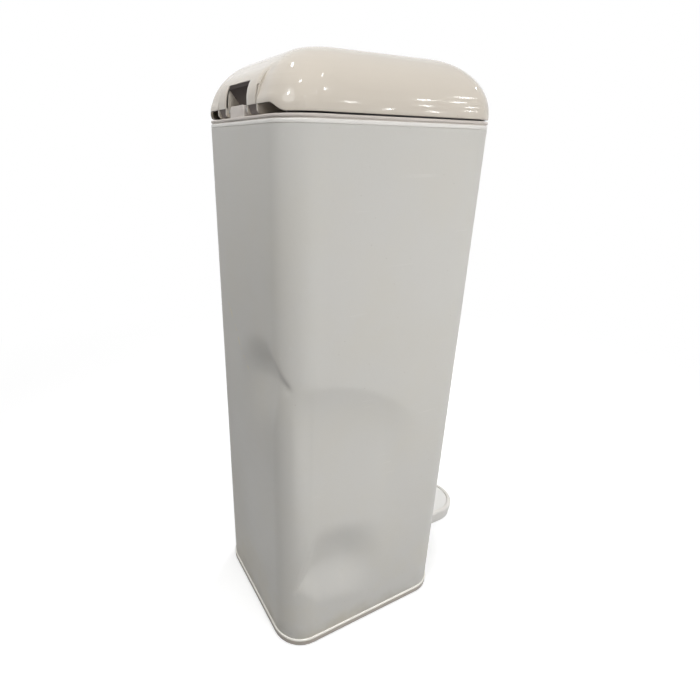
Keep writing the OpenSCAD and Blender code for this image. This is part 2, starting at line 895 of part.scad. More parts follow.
module bayonet_slot() {
    // lets a lug in from below, then along for the cover's turn
    play = 0.3;
    side = 1.5;
    translate([0, 0, bayonet_z - play])
        rotate(-side)
            rotate_extrude(angle = bayonet_w + lug_turn + 2 * side)
                strip(cup_r - 1, cup_r + cup_wall - 0.4, 0, bayonet_h + 2 * play);
    translate([0, 0, liner_z - 1])
        rotate(lug_turn - side)
            rotate_extrude(angle = bayonet_w + 1.6 * side)
                strip(cup_r - 1, cup_r + cup_wall - 0.4, 0, bayonet_z + bayonet_h - liner_z + 1);
}

module liner_screws() {
    color(steel)
        for (x = [-1, 1], y = [post_front, post_back])
            screw(x * post_x, y, liner_z, 13);
}

module lid_gasket() {
    color(dark)
        translate([0, seal_y, 0])
            around(seal_w, seal_d, seal_r)
                polygon([
                    [-seal_t / 2, liner_z], [-seal_t / 2, rim_z + 2.2], [-0.8, rim_z + soft_gap],
                    [0.8, rim_z + soft_gap], [seal_t / 2, rim_z + 2.2], [seal_t / 2, liner_z]
                ]);
}

module filter_disc() {
    color(dark)
        translate([0, cup_y, liner_z + cup_h - disc_t - soft_gap])
            cylinder(r = cup_r - disc_play, h = disc_t);
}

module filter_cover() {
    // vented bayonet cap with a grip bar
    vents = 12;
    color(white)
        translate([0, cup_y, 0])
            difference() {
                union() {
                    translate([0, 0, liner_z - cover_t])
                        cylinder(r = cover_r + 3, h = cover_t - fit);
                    translate([0, 0, liner_z - cover_t + 0.5])
                        cylinder(r = cover_r, h = cover_rise);
                    for (a = [0, 120, 240])
                        rotate(a)
                            translate([0, 0, bayonet_z])
                                rotate_extrude(angle = bayonet_w)
                                    strip(cover_r - 1, cup_r + cup_wall - 0.8, 0, bayonet_h);
                }
                translate([0, 0, liner_z])
                    cylinder(r = cover_r - cover_wall, h = cover_rise);
                // vents round the grip bar
                for (i = [0:vents - 1])
                    rotate((i + 0.5) * 360 / vents)
                        translate([cover_r * 0.66, 0, 0])
                            slab(cover_r * 0.42, 3, 1.4, liner_z - cover_t - 1, liner_z + 1);
                // the grip bar stands between two finger hollows
                for (y = [-1, 1])
                    translate([0, y * 7, liner_z - cover_t])
                        slab(24, 9, 4, -1, cover_t - 1);
            }
}

// ---- push rod ----

module push_rod() {
    top = head_z0 + 1;
    end_x = lever_w / 2 + fit + clip_t + 2;
    color(steel) {
        translate([0, rod_y, hook_z + hook_bend])
            cylinder(r = rod_r, h = top - hook_z - hook_bend);
        translate([hook_bend, rod_y, hook_z + hook_bend])
            rotate([90, 0, 0])
                rotate(180)
                    rotate_extrude(angle = 90)
                        translate([hook_bend, 0])
                            circle(r = rod_r, $fn = 32);
        rod_x(rod_r, hook_bend, end_x, rod_y, hook_z);
    }
}

module rod_head() {
    // slotted head that lifts the lid's crank
    color(white)
        difference() {
            union() {
                translate([-head_w / 2, head_y0, head_z0])
                    cube([head_w, head_y1 - head_y0, head_z1 - head_z0]);
                translate([0, rod_y, head_z0 - stem_h])
                    cylinder(r = stem_r, h = stem_h + 1);
            }
            along_x(-head_w, head_w)
                translate([rod_y, crank_z])
                    plan(head_slot_l, head_slot_h, head_slot_h / 2 - eps);
            translate([0, rod_y, head_z0 - stem_h - 1])
                cylinder(r = rod_r + press, h = stem_h + 2);
        }
}

module rod_clip() {
    x = lever_w / 2 + fit;
    color(steel)
        difference() {
            rod_x(clip_r, x, x + clip_t, rod_y, hook_z);
            rod_x(rod_r + press, x - 1, x + clip_t + 1, rod_y, hook_z);
        }
}

// ---- pedal ----

module pedal_plan(inset) {
    // round front, straight sides and rounded back corners
    r = pedal_back_r - inset;
    half = pedal_w / 2 - inset;
    translate([0, pedal_cy])
        circle(r = half);
    translate([-half, pedal_cy])
        square([2 * half, pedal_back - pedal_back_r - pedal_cy]);
    translate([pedal_back_r - pedal_w / 2, pedal_cy])
        square([pedal_w - 2 * pedal_back_r, pedal_back - inset - pedal_cy]);
    for (x = [-1, 1])
        translate([x * (pedal_w / 2 - pedal_back_r), pedal_back - pedal_back_r])
            circle(r = r);
}

module pedal_around() {
    // sweeps a section round the pedal's outline
    straight = pedal_back - pedal_back_r - pedal_cy;
    translate([0, pedal_cy, 0])
        rotate(180)
            rotate_extrude(angle = 180)
                translate([pedal_w / 2, 0])
                    children();
    for (side = [0, 1])
        mirror([side, 0, 0]) {
            translate([pedal_w / 2, pedal_cy + straight, 0])
                rotate([90, 0, 0])
                    linear_extrude(straight)
                        children();
            translate([pedal_w / 2 - pedal_back_r, pedal_back - pedal_back_r, 0])
                rotate_extrude(angle = 90)
                    translate([pedal_back_r, 0])
                        children();
        }
    translate([pedal_back_r - pedal_w / 2, pedal_back, 0])
        rotate([90, 0, 90])
            linear_extrude(pedal_w - 2 * pedal_back_r)
                children();
}

module pedal() {
    panel_z = pedal_z - inlay_drop - inlay_t;
    lean = 1.5;
    color(white)
        difference() {
            union() {
                pedal_around()
                    polygon([
                        [-lean, pedal_foot], [0, pedal_z - 4], [-0.3, pedal_z - 2.2],
                        [-1.2, pedal_z - 0.8], [-2.8, pedal_z], [-pedal_lip, pedal_z],
                        [-pedal_lip, panel_z - 2], [-pedal_wall - 0.5, panel_z - 2],
                        [-lean - pedal_wall, pedal_foot]
                    ]);
                translate([0, 0, panel_z - 2])
                    linear_extrude(2)
                        pedal_plan(pedal_wall);
                for (y = pedal_posts)
                    translate([0, y, neck_z + lever_t / 2])
                        cylinder(r = pedal_post_r, h = panel_z - 1 - neck_z - lever_t / 2);
            }
            for (y = pedal_posts)
                translate([0, y, neck_z])
                    cylinder(r = screw_r + press, h = 9);
            // way in for the lever
            translate([-lever_w / 2 - 1, pedal_back - 8, pedal_foot - 1])
                cube([lever_w + 2, 10, neck_z + lever_t - pedal_foot + 1]);
        }
}

module pedal_pad() {
    color(grey)
        translate([0, 0, pedal_z - inlay_drop - inlay_t])
            linear_extrude(inlay_t)
                pedal_plan(pedal_lip + fit);
}

// Direction at right angles to the line from a to b, and the mitre between two lines
function across(a, b) = let (d = (b - a) / norm(b - a)) [-d[1], d[0]];
function mitre(a, b, c) = let (m = across(a, b), n = across(b, c)) (m + n) / (1 + m * n);
function strap_side(p, offset) = let (n = len(p) - 1) concat(
    [p[0] + offset * across(p[0], p[1])],
    [for (i = [1:n - 1]) p[i] + offset * mitre(p[i - 1], p[i], p[i + 1])],
    [p[n] + offset * across(p[n - 1], p[n])]
);

module lever_strap(points) {
    // steel strap along a line of (y, z) points
    upper = strap_side(points, lever_t / 2);
    lower = strap_side(points, -lever_t / 2);
    polygon(concat(upper, [for (i = [len(lower) - 1:-1:0]) lower[i]]));
}

module pedal_lever() {
    // pressed channel from the rod to the pedal
    rear_y = rod_y - 24;
    ramp0 = front_y + 22;
    ramp1 = front_y + 8;
    web_rear = hook_z + (pivot_z - hook_z) * (rod_y - rear_y) / lever_rear - 7;
    web_mid = pivot_z - 7;
    eye = [rod_y, hook_z];
    color(steel)
        difference() {
            union() {
                along_x(-lever_w / 2, lever_w / 2)
                    lever_strap([
                        [rear_y, web_rear], [pivot_y, web_mid], [ramp0, web_mid + 4],
                        [ramp1, neck_z], [pedal_tip + 22, neck_z]
                    ]);
                for (x = [flange_in, -flange_in - lever_t])
                    along_x(x, x + lever_t) {
                        translate([pivot_y, pivot_z])
                            circle(r = lever_eye_r);
                        polygon([
                            [rear_y, web_rear], [rear_y, web_rear + 10],
                            [pivot_y, pivot_z + lever_eye_r], [pivot_y - 6, pivot_z + 5],
                            [ramp0, web_mid + 6], [ramp0, web_mid + 4], [pivot_y, web_mid]
                        ]);
                    }
                // the flange that the rod hooks into
                along_x(flange_in, flange_in + lever_t) {
                    translate(eye)
                        circle(r = lever_eye_r);
                    polygon([
                        [rear_y - 1, web_rear], [rear_y - 1, web_rear + 10],
                        eye + [0, lever_eye_r], eye - [0, lever_eye_r]
                    ]);
                }
            }
            rod_x(pivot_pin_r + run, -lever_w, lever_w, pivot_y, pivot_z);
            along_x(0, lever_w)
                translate(eye)
                    plan(2 * (rod_r + hook_shift), 2 * (rod_r + hook_play), rod_r + hook_play - eps);
            for (y = pedal_posts)
                translate([0, y, neck_z - lever_t])
                    cylinder(r = screw_r + 0.2, h = 2 * lever_t);
        }
}

module pedal_screws() {
    color(steel)
        for (y = pedal_posts)
            screw(0, y, neck_z - lever_t / 2, 9);
}

foot_ring();
base_ring();
base_plate();
pivot_bracket();
rod_guide();
base_screws();
steel_body();
slot_bezel();
edge_band();
collar();
inner_bucket();
bag_ring();
hinge_pin();
pedal_pin();
pedal_pin_clips();
lid_shell();
lid_liner();
liner_screws();
lid_gasket();
filter_disc();
filter_cover();
crank_pin();
push_rod();
rod_head();
rod_clip();
pedal();
pedal_pad();
pedal_lever();
pedal_screws();
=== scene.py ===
import math

import bpy
from mathutils import Euler, Matrix, Vector


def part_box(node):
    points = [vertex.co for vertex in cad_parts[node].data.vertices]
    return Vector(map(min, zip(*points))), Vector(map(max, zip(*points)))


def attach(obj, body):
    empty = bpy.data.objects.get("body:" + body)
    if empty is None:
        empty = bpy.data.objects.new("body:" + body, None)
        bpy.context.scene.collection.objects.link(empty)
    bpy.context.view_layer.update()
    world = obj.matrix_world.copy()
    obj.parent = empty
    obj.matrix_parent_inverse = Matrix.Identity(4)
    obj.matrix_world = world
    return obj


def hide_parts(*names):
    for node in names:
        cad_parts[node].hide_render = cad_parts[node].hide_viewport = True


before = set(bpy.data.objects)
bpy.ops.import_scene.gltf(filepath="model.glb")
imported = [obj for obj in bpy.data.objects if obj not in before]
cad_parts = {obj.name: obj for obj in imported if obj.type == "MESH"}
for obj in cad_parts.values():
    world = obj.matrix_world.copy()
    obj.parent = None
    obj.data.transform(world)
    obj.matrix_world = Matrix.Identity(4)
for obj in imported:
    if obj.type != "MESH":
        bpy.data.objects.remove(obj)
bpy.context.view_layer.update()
print("frame loaded:", len(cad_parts), "nodes")


camera = {
    "place": (-0.4561, 0.2876, 0.5591),
    "heading": -118.76,     # degrees about Z, from facing +Y
    "down": 22.92,
    "roll": 0.76,
    "lens": 24.995,
    "sensor": 36,
    "shift": (0.0599, 0.0057),
}


def addCamera():
    data = bpy.data.cameras.new("camera")
    data.lens = camera["lens"]
    data.sensor_width = camera["sensor"]
    data.shift_x, data.shift_y = camera["shift"]
    data.clip_start = 0.01
    made = bpy.data.objects.new("camera", data)
    bpy.context.scene.collection.objects.link(made)
    turn = Euler((math.radians(90 - camera["down"]), 0, math.radians(camera["heading"]))).to_matrix()
    roll = Matrix.Rotation(math.radians(camera["roll"]), 3, "Z")
    made.matrix_world = Matrix.Translation(camera["place"]) @ (turn @ roll).to_4x4()
    bpy.context.scene.camera = made


past = 0.01         # how far a cutting piece runs past what it cuts
near = 1e-5         # places closer than this count as one
lap = 0.0002        # how far moulded parts run into each other
longEdge = 0.05     # an edge longer than this is still to be cut


def level(a, b):
    return abs(a.z - b.z) < 1e-6


def upright(a, b):
    return not level(a, b)


def abreast(a, b):
    return abs(a.y - b.y) < 1e-4


def faceUp(centre, facing):
    return facing.z > 0.9


def faceDown(centre, facing):
    return facing.z < -0.9


def wake(piece):
    # leaves object mode, and makes this the only piece selected
    if bpy.context.object and bpy.context.object.mode != "OBJECT":
        bpy.ops.object.mode_set(mode="OBJECT")
    bpy.ops.object.select_all(action="DESELECT")
    piece.select_set(True)
    bpy.context.view_layer.objects.active = piece


def toObject():
    bpy.ops.object.mode_set(mode="OBJECT")


def pick(piece, test, kind="FACE"):
    # opens edit mode with only the faces, edges or vertices that pass the test
    wake(piece)
    bpy.ops.object.mode_set(mode="EDIT")
    bpy.ops.mesh.select_mode(type=kind)
    bpy.ops.mesh.select_all(action="DESELECT")
    toObject()
    mesh = piece.data
    if kind == "FACE":
        for face in mesh.polygons:
            face.select = test(face.center, face.normal)
    elif kind == "EDGE":
        for edge in mesh.edges:
            edge.select = test(*[mesh.vertices[i].co for i in edge.vertices])
    else:
        for vertex in mesh.vertices:
            vertex.select = test(vertex.co)
    bpy.ops.object.mode_set(mode="EDIT")


def remove(piece, test):
    pick(piece, test)
    bpy.ops.mesh.delete(type="FACE")
    toObject()


def bevelEdges(piece, test, width, segments=3):
    pick(piece, test, "EDGE")
    bpy.ops.mesh.bevel(offset=width, segments=segments, affect="EDGES")
    toObject()


def splitAt(piece, point, normal, where=lambda centre, facing: True):
    # a straight cut through the faces that pass
    pick(piece, where)
    bpy.ops.mesh.bisect(plane_co=point, plane_no=normal)
    toObject()


def cutRows(piece, test, cuts):
    pick(piece, test, "EDGE")
    bpy.ops.mesh.subdivide(number_cuts=cuts)
    toObject()


def applyModifier(piece, kind, **settings):
    wake(piece)
    made = piece.modifiers.new(kind.lower(), kind)
    for name, value in settings.items():
        setattr(made, name, value)
    bpy.ops.object.modifier_apply(modifier=made.name)


def thicken(piece, wall):
    # a wall of even thickness behind the outer face
    applyModifier(piece, "SOLIDIFY", thickness=wall, offset=-1, use_even_offset=True)


def carve(piece, tool):
    applyModifier(piece, "BOOLEAN", object=tool, operation="DIFFERENCE", solver="EXACT")
    bpy.data.objects.remove(tool)


def pickAll(piece):
    pick(piece, lambda co: True, "VERT")


def weld(piece, gap=1e-6, crumb=None):
    # joins points closer than the gap, and melts faces and edges smaller than the crumb
    pickAll(piece)
    bpy.ops.mesh.remove_doubles(threshold=gap)
    if crumb:
        bpy.ops.mesh.dissolve_degenerate(threshold=crumb)
    toObject()


def smoothed(piece, angle=35):
    weld(piece)
    bpy.ops.object.shade_smooth_by_angle(angle=math.radians(angle))
    return piece


def outwards(piece):
    pickAll(piece)
    bpy.ops.mesh.normals_make_consistent(inside=False)
    toObject()


def merge(parts, name):
    wake(parts[0])
    for part in parts[1:]:
        part.select_set(True)
    bpy.ops.object.join()
    joined = bpy.context.object
    joined.name = name
    joined.data.name = name
    return joined


def box(name, low, high):
    low, high = Vector(low), Vector(high)
    bpy.ops.object.select_all(action="DESELECT")
    bpy.ops.mesh.primitive_cube_add(size=1, location=(low + high) / 2, scale=high - low)
    made = bpy.context.object
    made.name = name
    bpy.ops.object.transform_apply(location=True, rotation=True, scale=True)
    return made


def roundedBlock(name, width, depth, corner, z0, z1, y=0, segments=10):
    made = box(name, (-width / 2, y - depth / 2, z0), (width / 2, y + depth / 2, z1))
    pick(made, upright, "EDGE")
    bpy.ops.mesh.bevel(offset=corner, segments=segments, affect="EDGES", clamp_overlap=False)
    toObject()
    return made


def drum(name, centre, radius, z0, z1, sides=48):
    bpy.ops.object.select_all(action="DESELECT")
    bpy.ops.mesh.primitive_cylinder_add(
        vertices=sides, radius=radius, depth=z1 - z0, location=(centre[0], centre[1], (z0 + z1) / 2)
    )
    made = bpy.context.object
    made.name = name
    bpy.ops.object.transform_apply(location=True, rotation=True, scale=True)
    return made


def grown(size, amount):
    # a rounded rectangle (width, depth, corner) made larger all round, or smaller
    width, depth, corner = size
    return width + 2 * amount, depth + 2 * amount, corner + amount


def openEnds(piece):
    remove(piece, lambda centre, facing: faceUp(centre, facing) or faceDown(centre, facing))


def ring(name, width, depth, corner, z0, z1, wall, y=0, segments=10):
    # a rounded rectangular band, its outer face on the outline
    made = roundedBlock(name, width, depth, corner, z0, z1, y, segments)
    openEnds(made)
    thicken(made, wall)
    return made


def inset(co, width, depth, corner, y=0):
    # how far a point lies inside a rounded rectangle
    qx = abs(co.x) - width / 2 + corner
    qy = abs(co.y - y) - depth / 2 + corner
    return corner - math.hypot(max(qx, 0), max(qy, 0)) - min(max(qx, qy), 0)


def rimEdges(width, depth, corner, z, y=0):
    # picks the edges of an outline at one height
    def test(a, b):
        return all(
            abs(co.z - z) < near and abs(inset(co, width, depth, corner, y)) < 2 * near for co in (a, b)
        )

    return test


def roundRims(piece, size, heights, width, segments=3, y=0):
    # rounds the edges of an outline at each height
    for z in heights:
        bevelEdges(piece, rimEdges(*size, z, y), width, segments)


def sharpEdges(piece, degrees):
    # the edges between faces that meet at a wide angle
    mesh = piece.data
    sides = {}
    for face in mesh.polygons:
        for key in face.edge_keys:
            sides.setdefault(key, []).append(face.normal.copy())
    limit = math.cos(math.radians(degrees))
    return {
        (tuple(mesh.vertices[a].co), tuple(mesh.vertices[b].co))
        for (a, b), found in sides.items()
        if len(found) == 2 and found[0].dot(found[1]) < limit
    }


def bevelSharp(piece, width, segments=2, degrees=50):
    sharp = sharpEdges(piece, degrees)

    def isSharp(a, b):
        return (tuple(a), tuple(b)) in sharp or (tuple(b), tuple(a)) in sharp

    bevelEdges(piece, isSharp, width, segments)


def sweepOutline(name, points, step):
    # one vertex is walked round the outline, which is filled and drawn out by the step
    bpy.ops.object.select_all(action="DESELECT")
    bpy.ops.mesh.primitive_plane_add(size=0.01)
    made = bpy.context.object
    made.name = name
    bpy.ops.object.mode_set(mode="EDIT")
    bpy.ops.mesh.select_mode(type="VERT")
    bpy.ops.mesh.select_all(action="SELECT")
    bpy.ops.mesh.merge(type="CENTER")
    bpy.ops.transform.translate(value=points[0])
    for last, point in zip(points, points[1:]):
        bpy.ops.mesh.extrude_region_move(
            TRANSFORM_OT_translate={"value": tuple(Vector(point) - Vector(last))}
        )
    bpy.ops.mesh.select_all(action="SELECT")
    bpy.ops.mesh.edge_face_add()
    bpy.ops.mesh.extrude_region_move(TRANSFORM_OT_translate={"value": step})
    bpy.ops.mesh.select_all(action="SELECT")
    bpy.ops.mesh.normals_make_consistent(inside=False)
    toObject()
    return made


def sideOutline(name, points, x0, x1):
    # an outline of (y, z) points, drawn out from x0 to x1
    return sweepOutline(name, [(x0, y, z) for y, z in points], (x1 - x0, 0, 0))


def arc(centre, radius, start, end, count):
    return [
        (centre[0] + radius * math.cos(math.radians(start + (end - start) * i / count)),
         centre[1] + radius * math.sin(math.radians(start + (end - start) * i / count)))
        for i in range(count + 1)
    ]


def smoothStep(low, high, value):
    t = min(max((value - low) / (high - low), 0), 1)
    return t * t * (3 - 2 * t)


def place(piece, body, slot, material, *nodes):
    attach(piece, body)
    if nodes:
        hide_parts(*nodes)
    piece.data.materials.clear()
    piece.data.materials.append(material)


addCamera()

bodyLow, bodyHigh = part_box("steel_body")
plan = {
    "width": bodyHigh.x - bodyLow.x,
    "depth": bodyHigh.y - bodyLow.y,
    "corner": 0.034,
}
outline = (plan["width"], plan["depth"], plan["corner"])


def planInset(amount):
    # the body's outline, drawn in by an amount
    return grown(outline, -amount)


sleeve = {
    "sheet": 0.0006,
    "fit": 0.00015,         # gap to what fits inside the sheet
    "segments": 24,         # across each corner
    "fineLow": 0.016,       # the knocked stretch of the sheet gets the finest mesh
    "fineHigh": 0.43,
    "fineRows": 150,
    "coarseRows": 18,
    "sideFrom": -0.078,
    "sideColumns": 56,
    "backColumns": 36,
    "heldFoot": (0.010, 0.034),     # the base holds the sheet below the first, and lets go at the second
    "heldTop": (0.47, 0.54),
    "slotWidth": 0.038,
    "slotCorner": 0.004,
    "slot": (0.020, 0.050),
}
# knocks: along is the distance round the sheet from the middle of the left back corner,
# to the left side when positive; each valley starts at a point, climbs and then sinks
knocks = {
    "corner": {
        "along": 0.0015, "z": 0.3465, "turn": -1,
        "depth": 0.0088, "grow": 0.013, "reach": (0.050, 0.112),
        "climb": (0.0110, 0.0105), "sink": (0, 0.23),
        "up": (0.0025, 0.045, 0.040), "down": (0.005, 0.062, 0.032),
        "sharp": 0.015, "hollow": 0.75,
        # the side beside it leans in from a line that starts here and falls away in a curve
        "lean": 0.0052, "leanFrom": 0.0025, "leanFall": (0.006, 0.056, 2.4), "leanStart": (-0.002, 0.020),
        "leanReach": (0.110, 0.165), "leanDown": (0.056, 0.210),
    },
    "low": {
        "along": 0.0027, "z": 0.0840, "turn": 1,
        "depth": 0.0112, "grow": 0.017, "reach": (0.066, 0.124),
        "climb": (0.040, 0.015), "sink": (0.024, 0.28),
        "up": (0.004, 0.060, 0.026), "down": (0.009, 0.058, 0.036),
        "sharp": 0.030, "hollow": 0.15,
    },
}
knockReach = 0.24       # no knock is felt further round the sheet than this
creased = 0.85          # how sharp a valley is at its point
bowed = 1.15            # how full its slopes are


def alongSheet(co):
    # distance round the sheet from the middle of the left back corner
    corner = plan["corner"]
    cx, cy = -plan["width"] / 2 + corner, plan["depth"] / 2 - corner
    quarter = corner * math.pi / 4
    if co.y < -cy:
        return 4 * knockReach      # the front
    if co.x > cx:
        return -quarter - (co.x - cx)
    if co.y < cy:
        return quarter + (cy - co.y)
    return corner * (math.pi / 4 - math.atan2(co.y - cy, cx - co.x))


def knockBowl(knock, along, up):
    # the depth grows from the point, and each side of the valley slopes back to the sheet
    away = max(along * knock["turn"], 0)
    climb, sink = knock["climb"], knock["sink"]
    valley = climb[0] * (1 - math.exp(-away / climb[1])) - sink[1] * max(away - sink[0], 0)
    depth = knock["depth"] * (1 - math.exp(-away / knock["grow"]))
    depth *= 1 - smoothStep(*knock["reach"], away)
    close, far, within = knock["up"] if up > valley else knock["down"]
    share = abs(up - valley) / (close + (far - close) * smoothStep(0, within, away))
    share = min(share, 1)
    crease = creased * math.exp(-away / knock["sharp"])
    if up < valley:
        crease = max(crease, knock["hollow"])
    return depth * (crease * (1 - share) ** 2 + (1 - crease) * (1 - smoothStep(0, 1, share ** bowed)))


def sideLean(knock, along, up):
    # the side leans in from a curved line, and comes back slowly further down
    fall, length, curve = knock["leanFall"]
    below = knock["leanFrom"] - fall * (max(along, 0) / length) ** curve - up
    low, high = knock["leanDown"]
    lean = knock["lean"] * smoothStep(*knock["leanStart"], along)
    lean *= 1 - smoothStep(*knock["leanReach"], along)
    reached = min(max(below / low, 0), 1)
    return lean * (1 - (1 - reached) ** 2) * (1 - smoothStep(low, high, below))


def knockDepth(co):
    along = alongSheet(co)
    if abs(along) > knockReach:
        return 0
    total = 0
    for knock in knocks.values():
        here, up = along - knock["along"], co.z - knock["z"]
        total += knockBowl(knock, here, up)
        if "lean" in knock:
            total += sideLean(knock, here, up)
    # nothing moves where the sheet is held
    held, free = sleeve["heldFoot"]
    freed = smoothStep(bodyLow.z + held, bodyLow.z + free, co.z)
    return total * freed * (1 - smoothStep(*sleeve["heldTop"], co.z))


def inwardAt(co):
    # the horizontal direction into the sleeve
    corner = plan["corner"]
    qx = abs(co.x) - plan["width"] / 2 + corner
    qy = abs(co.y) - plan["depth"] / 2 + corner
    if qx > 0 and qy > 0:
        away = Vector((math.copysign(qx, co.x), math.copysign(qy, co.y), 0))
    elif qx > qy:
        away = Vector((math.copysign(1, co.x), 0, 0))
    else:
        away = Vector((0, math.copysign(1, co.y), 0))
    return -away.normalized()


def cutSleeve(made):
    # columns on the left side and the back, then rows, which are finest where it is knocked
    left, back = -plan["width"] / 2 + near, plan["depth"] / 2 - near
    splitAt(made, (0, sleeve["sideFrom"], 0), (0, 1, 0), lambda centre, facing: facing.x < -0.99)
    sideFrom, sideTo = sleeve["sideFrom"] - near, plan["depth"] / 2 - plan["corner"] + near

    def onSide(a, b):
        return level(a, b) and max(a.x, b.x) < left and min(a.y, b.y) > sideFrom and max(a.y, b.y) < sideTo

    def onBack(a, b):
        return level(a, b) and min(a.y, b.y) > back and abs(a.x - b.x) > longEdge

    cutRows(made, onSide, sleeve["sideColumns"])
    cutRows(made, onBack, sleeve["backColumns"])
    low, high = sleeve["fineLow"] - near, sleeve["fineHigh"] + near
    for height in (sleeve["fineLow"], sleeve["fineHigh"]):
        splitAt(made, (0, 0, height), (0, 0, 1))

    def fineEdge(a, b):
        return min(a.z, b.z) > low and max(a.z, b.z) < high and abs(a.z - b.z) > longEdge

    def coarseEdge(a, b):
        return min(a.z, b.z) > high - 2 * near and abs(a.z - b.z) > longEdge

    cutRows(made, fineEdge, sleeve["fineRows"])
    cutRows(made, coarseEdge, sleeve["coarseRows"])


def buildSleeve():
    made = roundedBlock("bodySleeve", *outline, bodyLow.z, bodyHigh.z, segments=sleeve["segments"])
    openEnds(made)
    cutSleeve(made)
    for vertex in made.data.vertices:
        vertex.co += inwardAt(vertex.co) * knockDepth(vertex.co)
    thicken(made, sleeve["sheet"])
    z0, z1 = sleeve["slot"]
    half = sleeve["slotWidth"] / 2
    front = -plan["depth"] / 2
    slot = box("slot", (-half, front - past, z0), (half, front + past, z1))
    bevelEdges(slot, lambda a, b: not abreast(a, b), sleeve["slotCorner"], 6)
    carve(made, slot)
    return smoothed(made)


band = {
    "wall": 0.0013,
    "groove": 0.0012,       # how far in the groove between the two beads is
    "nose": 0.0009,
    "lap": 0.0004,
}


def buildEdgeBand():
    low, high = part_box("edge_band")
    inner = sleeve["sheet"] + sleeve["fit"]
    bead = ring("edgeBand", *outline, bodyHigh.z, high.z, inner + band["wall"])
    roundRims(bead, outline, (bodyHigh.z, high.z), band["nose"])
    skirt = ring("bandSkirt", *planInset(inner), low.z, bodyHigh.z + band["lap"], band["wall"])
    return smoothed(merge([bead, skirt], "edgeBand"))


collar = {
    "underSeal": 0.0003,        # gap between the rim and the lid's seal
    "bead": 0.0026,
    "nose": 0.0008,
    "mouth": (0.180, 0.182, 0.026),
    "mouthY": -0.013,
    "mouthNose": 0.0006,
    "neck": (0.0008, 0.0012),   # how far it comes down in the groove, and its wall
    "ledge": (0.007, 0.0025),   # width and thickness
    "ledgeTop": 0.576,
    "wall": 0.002,
    "skirt": 0.025,
    "skirtIn": 0.0022,
    "lap": 0.001,
    "slot": (0.0125, 0.086, 0.104),             # half its width, from and to
    "lug": (0.0172, 0.1056, 0.1132, 0.0045),    # half its width, from, to, and its round shoulders
    "tongue": 0.0105,           # half its width
    "eye": (0.0065, 0.005),     # radius and thickness of the rod's upper guide
    "eyeArm": 0.003,            # where its arm starts behind the rod
    "edge": 0.0005,
}


def hingeTongue(foot, rim, top):
    # the tongue that carries the hinge pin
    half, start, end, shoulder = collar["lug"]
    lug = box("lug", (-half, start, foot), (half, end, top))
    bevelEdges(lug, lambda a, b: not abreast(a, b) and a.z > rim, shoulder, 8)
    bevelEdges(lug, lambda a, b: abreast(a, b) and max(a.z, b.z) > rim + collar["lap"], collar["edge"], 3)
    return lug


def rodEye(low, skirtLow):
    # the rod's upper guide, on a tongue that hangs from the skirt
    rodLow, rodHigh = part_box("push_rod")
    rodY = (rodLow.y + rodHigh.y) / 2
    half, wall, lapped = collar["tongue"], collar["wall"], collar["lap"]
    tongueY = plan["depth"] / 2 - collar["skirtIn"] - wall
    tongue = box("tongue", (-half, tongueY, low), (half, tongueY + wall, skirtLow + lapped))
    radius, thick = collar["eye"]
    eye = drum("eye", (0, rodY), radius, low, low + thick, 32)
    bevelEdges(eye, level, collar["edge"], 2)
    armFrom = rodY + collar["eyeArm"]
    arm = box("eyeArm", (-radius, armFrom, low), (radius, tongueY + lapped / 2, low + thick))
    return [tongue, eye, arm]


def buildCollar():
    low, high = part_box("collar")
    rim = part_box("lid_gasket")[0].z - collar["underSeal"]
    beadLow = rim - collar["bead"]
    width, depth, corner = collar["mouth"]
    y, wall, lapped = collar["mouthY"], collar["wall"], collar["lap"]
    top = roundedBlock("collarTop", *outline, beadLow, rim, segments=12)
    carve(top, roundedBlock("mouth", *collar["mouth"], beadLow - past, rim + past, y))
    half, slotFrom, slotTo = collar["slot"]
    carve(top, box("rodSlot", (-half, slotFrom, beadLow - past), (half, slotTo, rim + past)))
    roundRims(top, outline, (beadLow, rim), collar["nose"], 4)
    roundRims(top, collar["mouth"], [rim], collar["mouthNose"], y=y)
    neckDrop, neckWall = collar["neck"]
    neck = ring("neck", *planInset(band["groove"]), beadLow - neckDrop, beadLow + lap, neckWall)
    skirtLow = rim - collar["skirt"]
    skirt = ring("skirt", *planInset(collar["skirtIn"]), skirtLow, rim - lapped, wall)
    ledgeWide, ledgeThick = collar["ledge"]
    ledgeTop = collar["ledgeTop"]
    around = grown(collar["mouth"], wall)
    mouthWall = ring("mouthWall", *around, ledgeTop - ledgeThick, beadLow + lapped / 2, wall, y)
    ledge = ring("ledge", width + lap, depth + lap, corner, ledgeTop - ledgeThick, ledgeTop, ledgeWide, y)
    parts = [top, neck, skirt, mouthWall, ledge, hingeTongue(beadLow, rim, high.z)]
    parts += rodEye(low.z, skirtLow)
    return smoothed(merge(parts, "collarTop"))


base = {
    "inset": 0.004,
    "nose": 0.0011,
    "proud": 0.0012,
    "trim": (0.0015, 0.0079),
    "lip": (0.0076, 0.0112),        # the pale lip over the foot of the sheet
    "lipIn": 0.00005,
    "wall": 0.002,
    "wallLow": 0.003,
    "ledge": 0.014,
    "ledgeIn": 0.001,
    "floor": 0.0055,
    "boss": (0.016, 0.0045, 0.0115),    # in from the corner, radius, top
    "wayOut": (0.021, 0.001, 0.011, 0.014),     # for the lever: half its width, out, in, and from this height
}


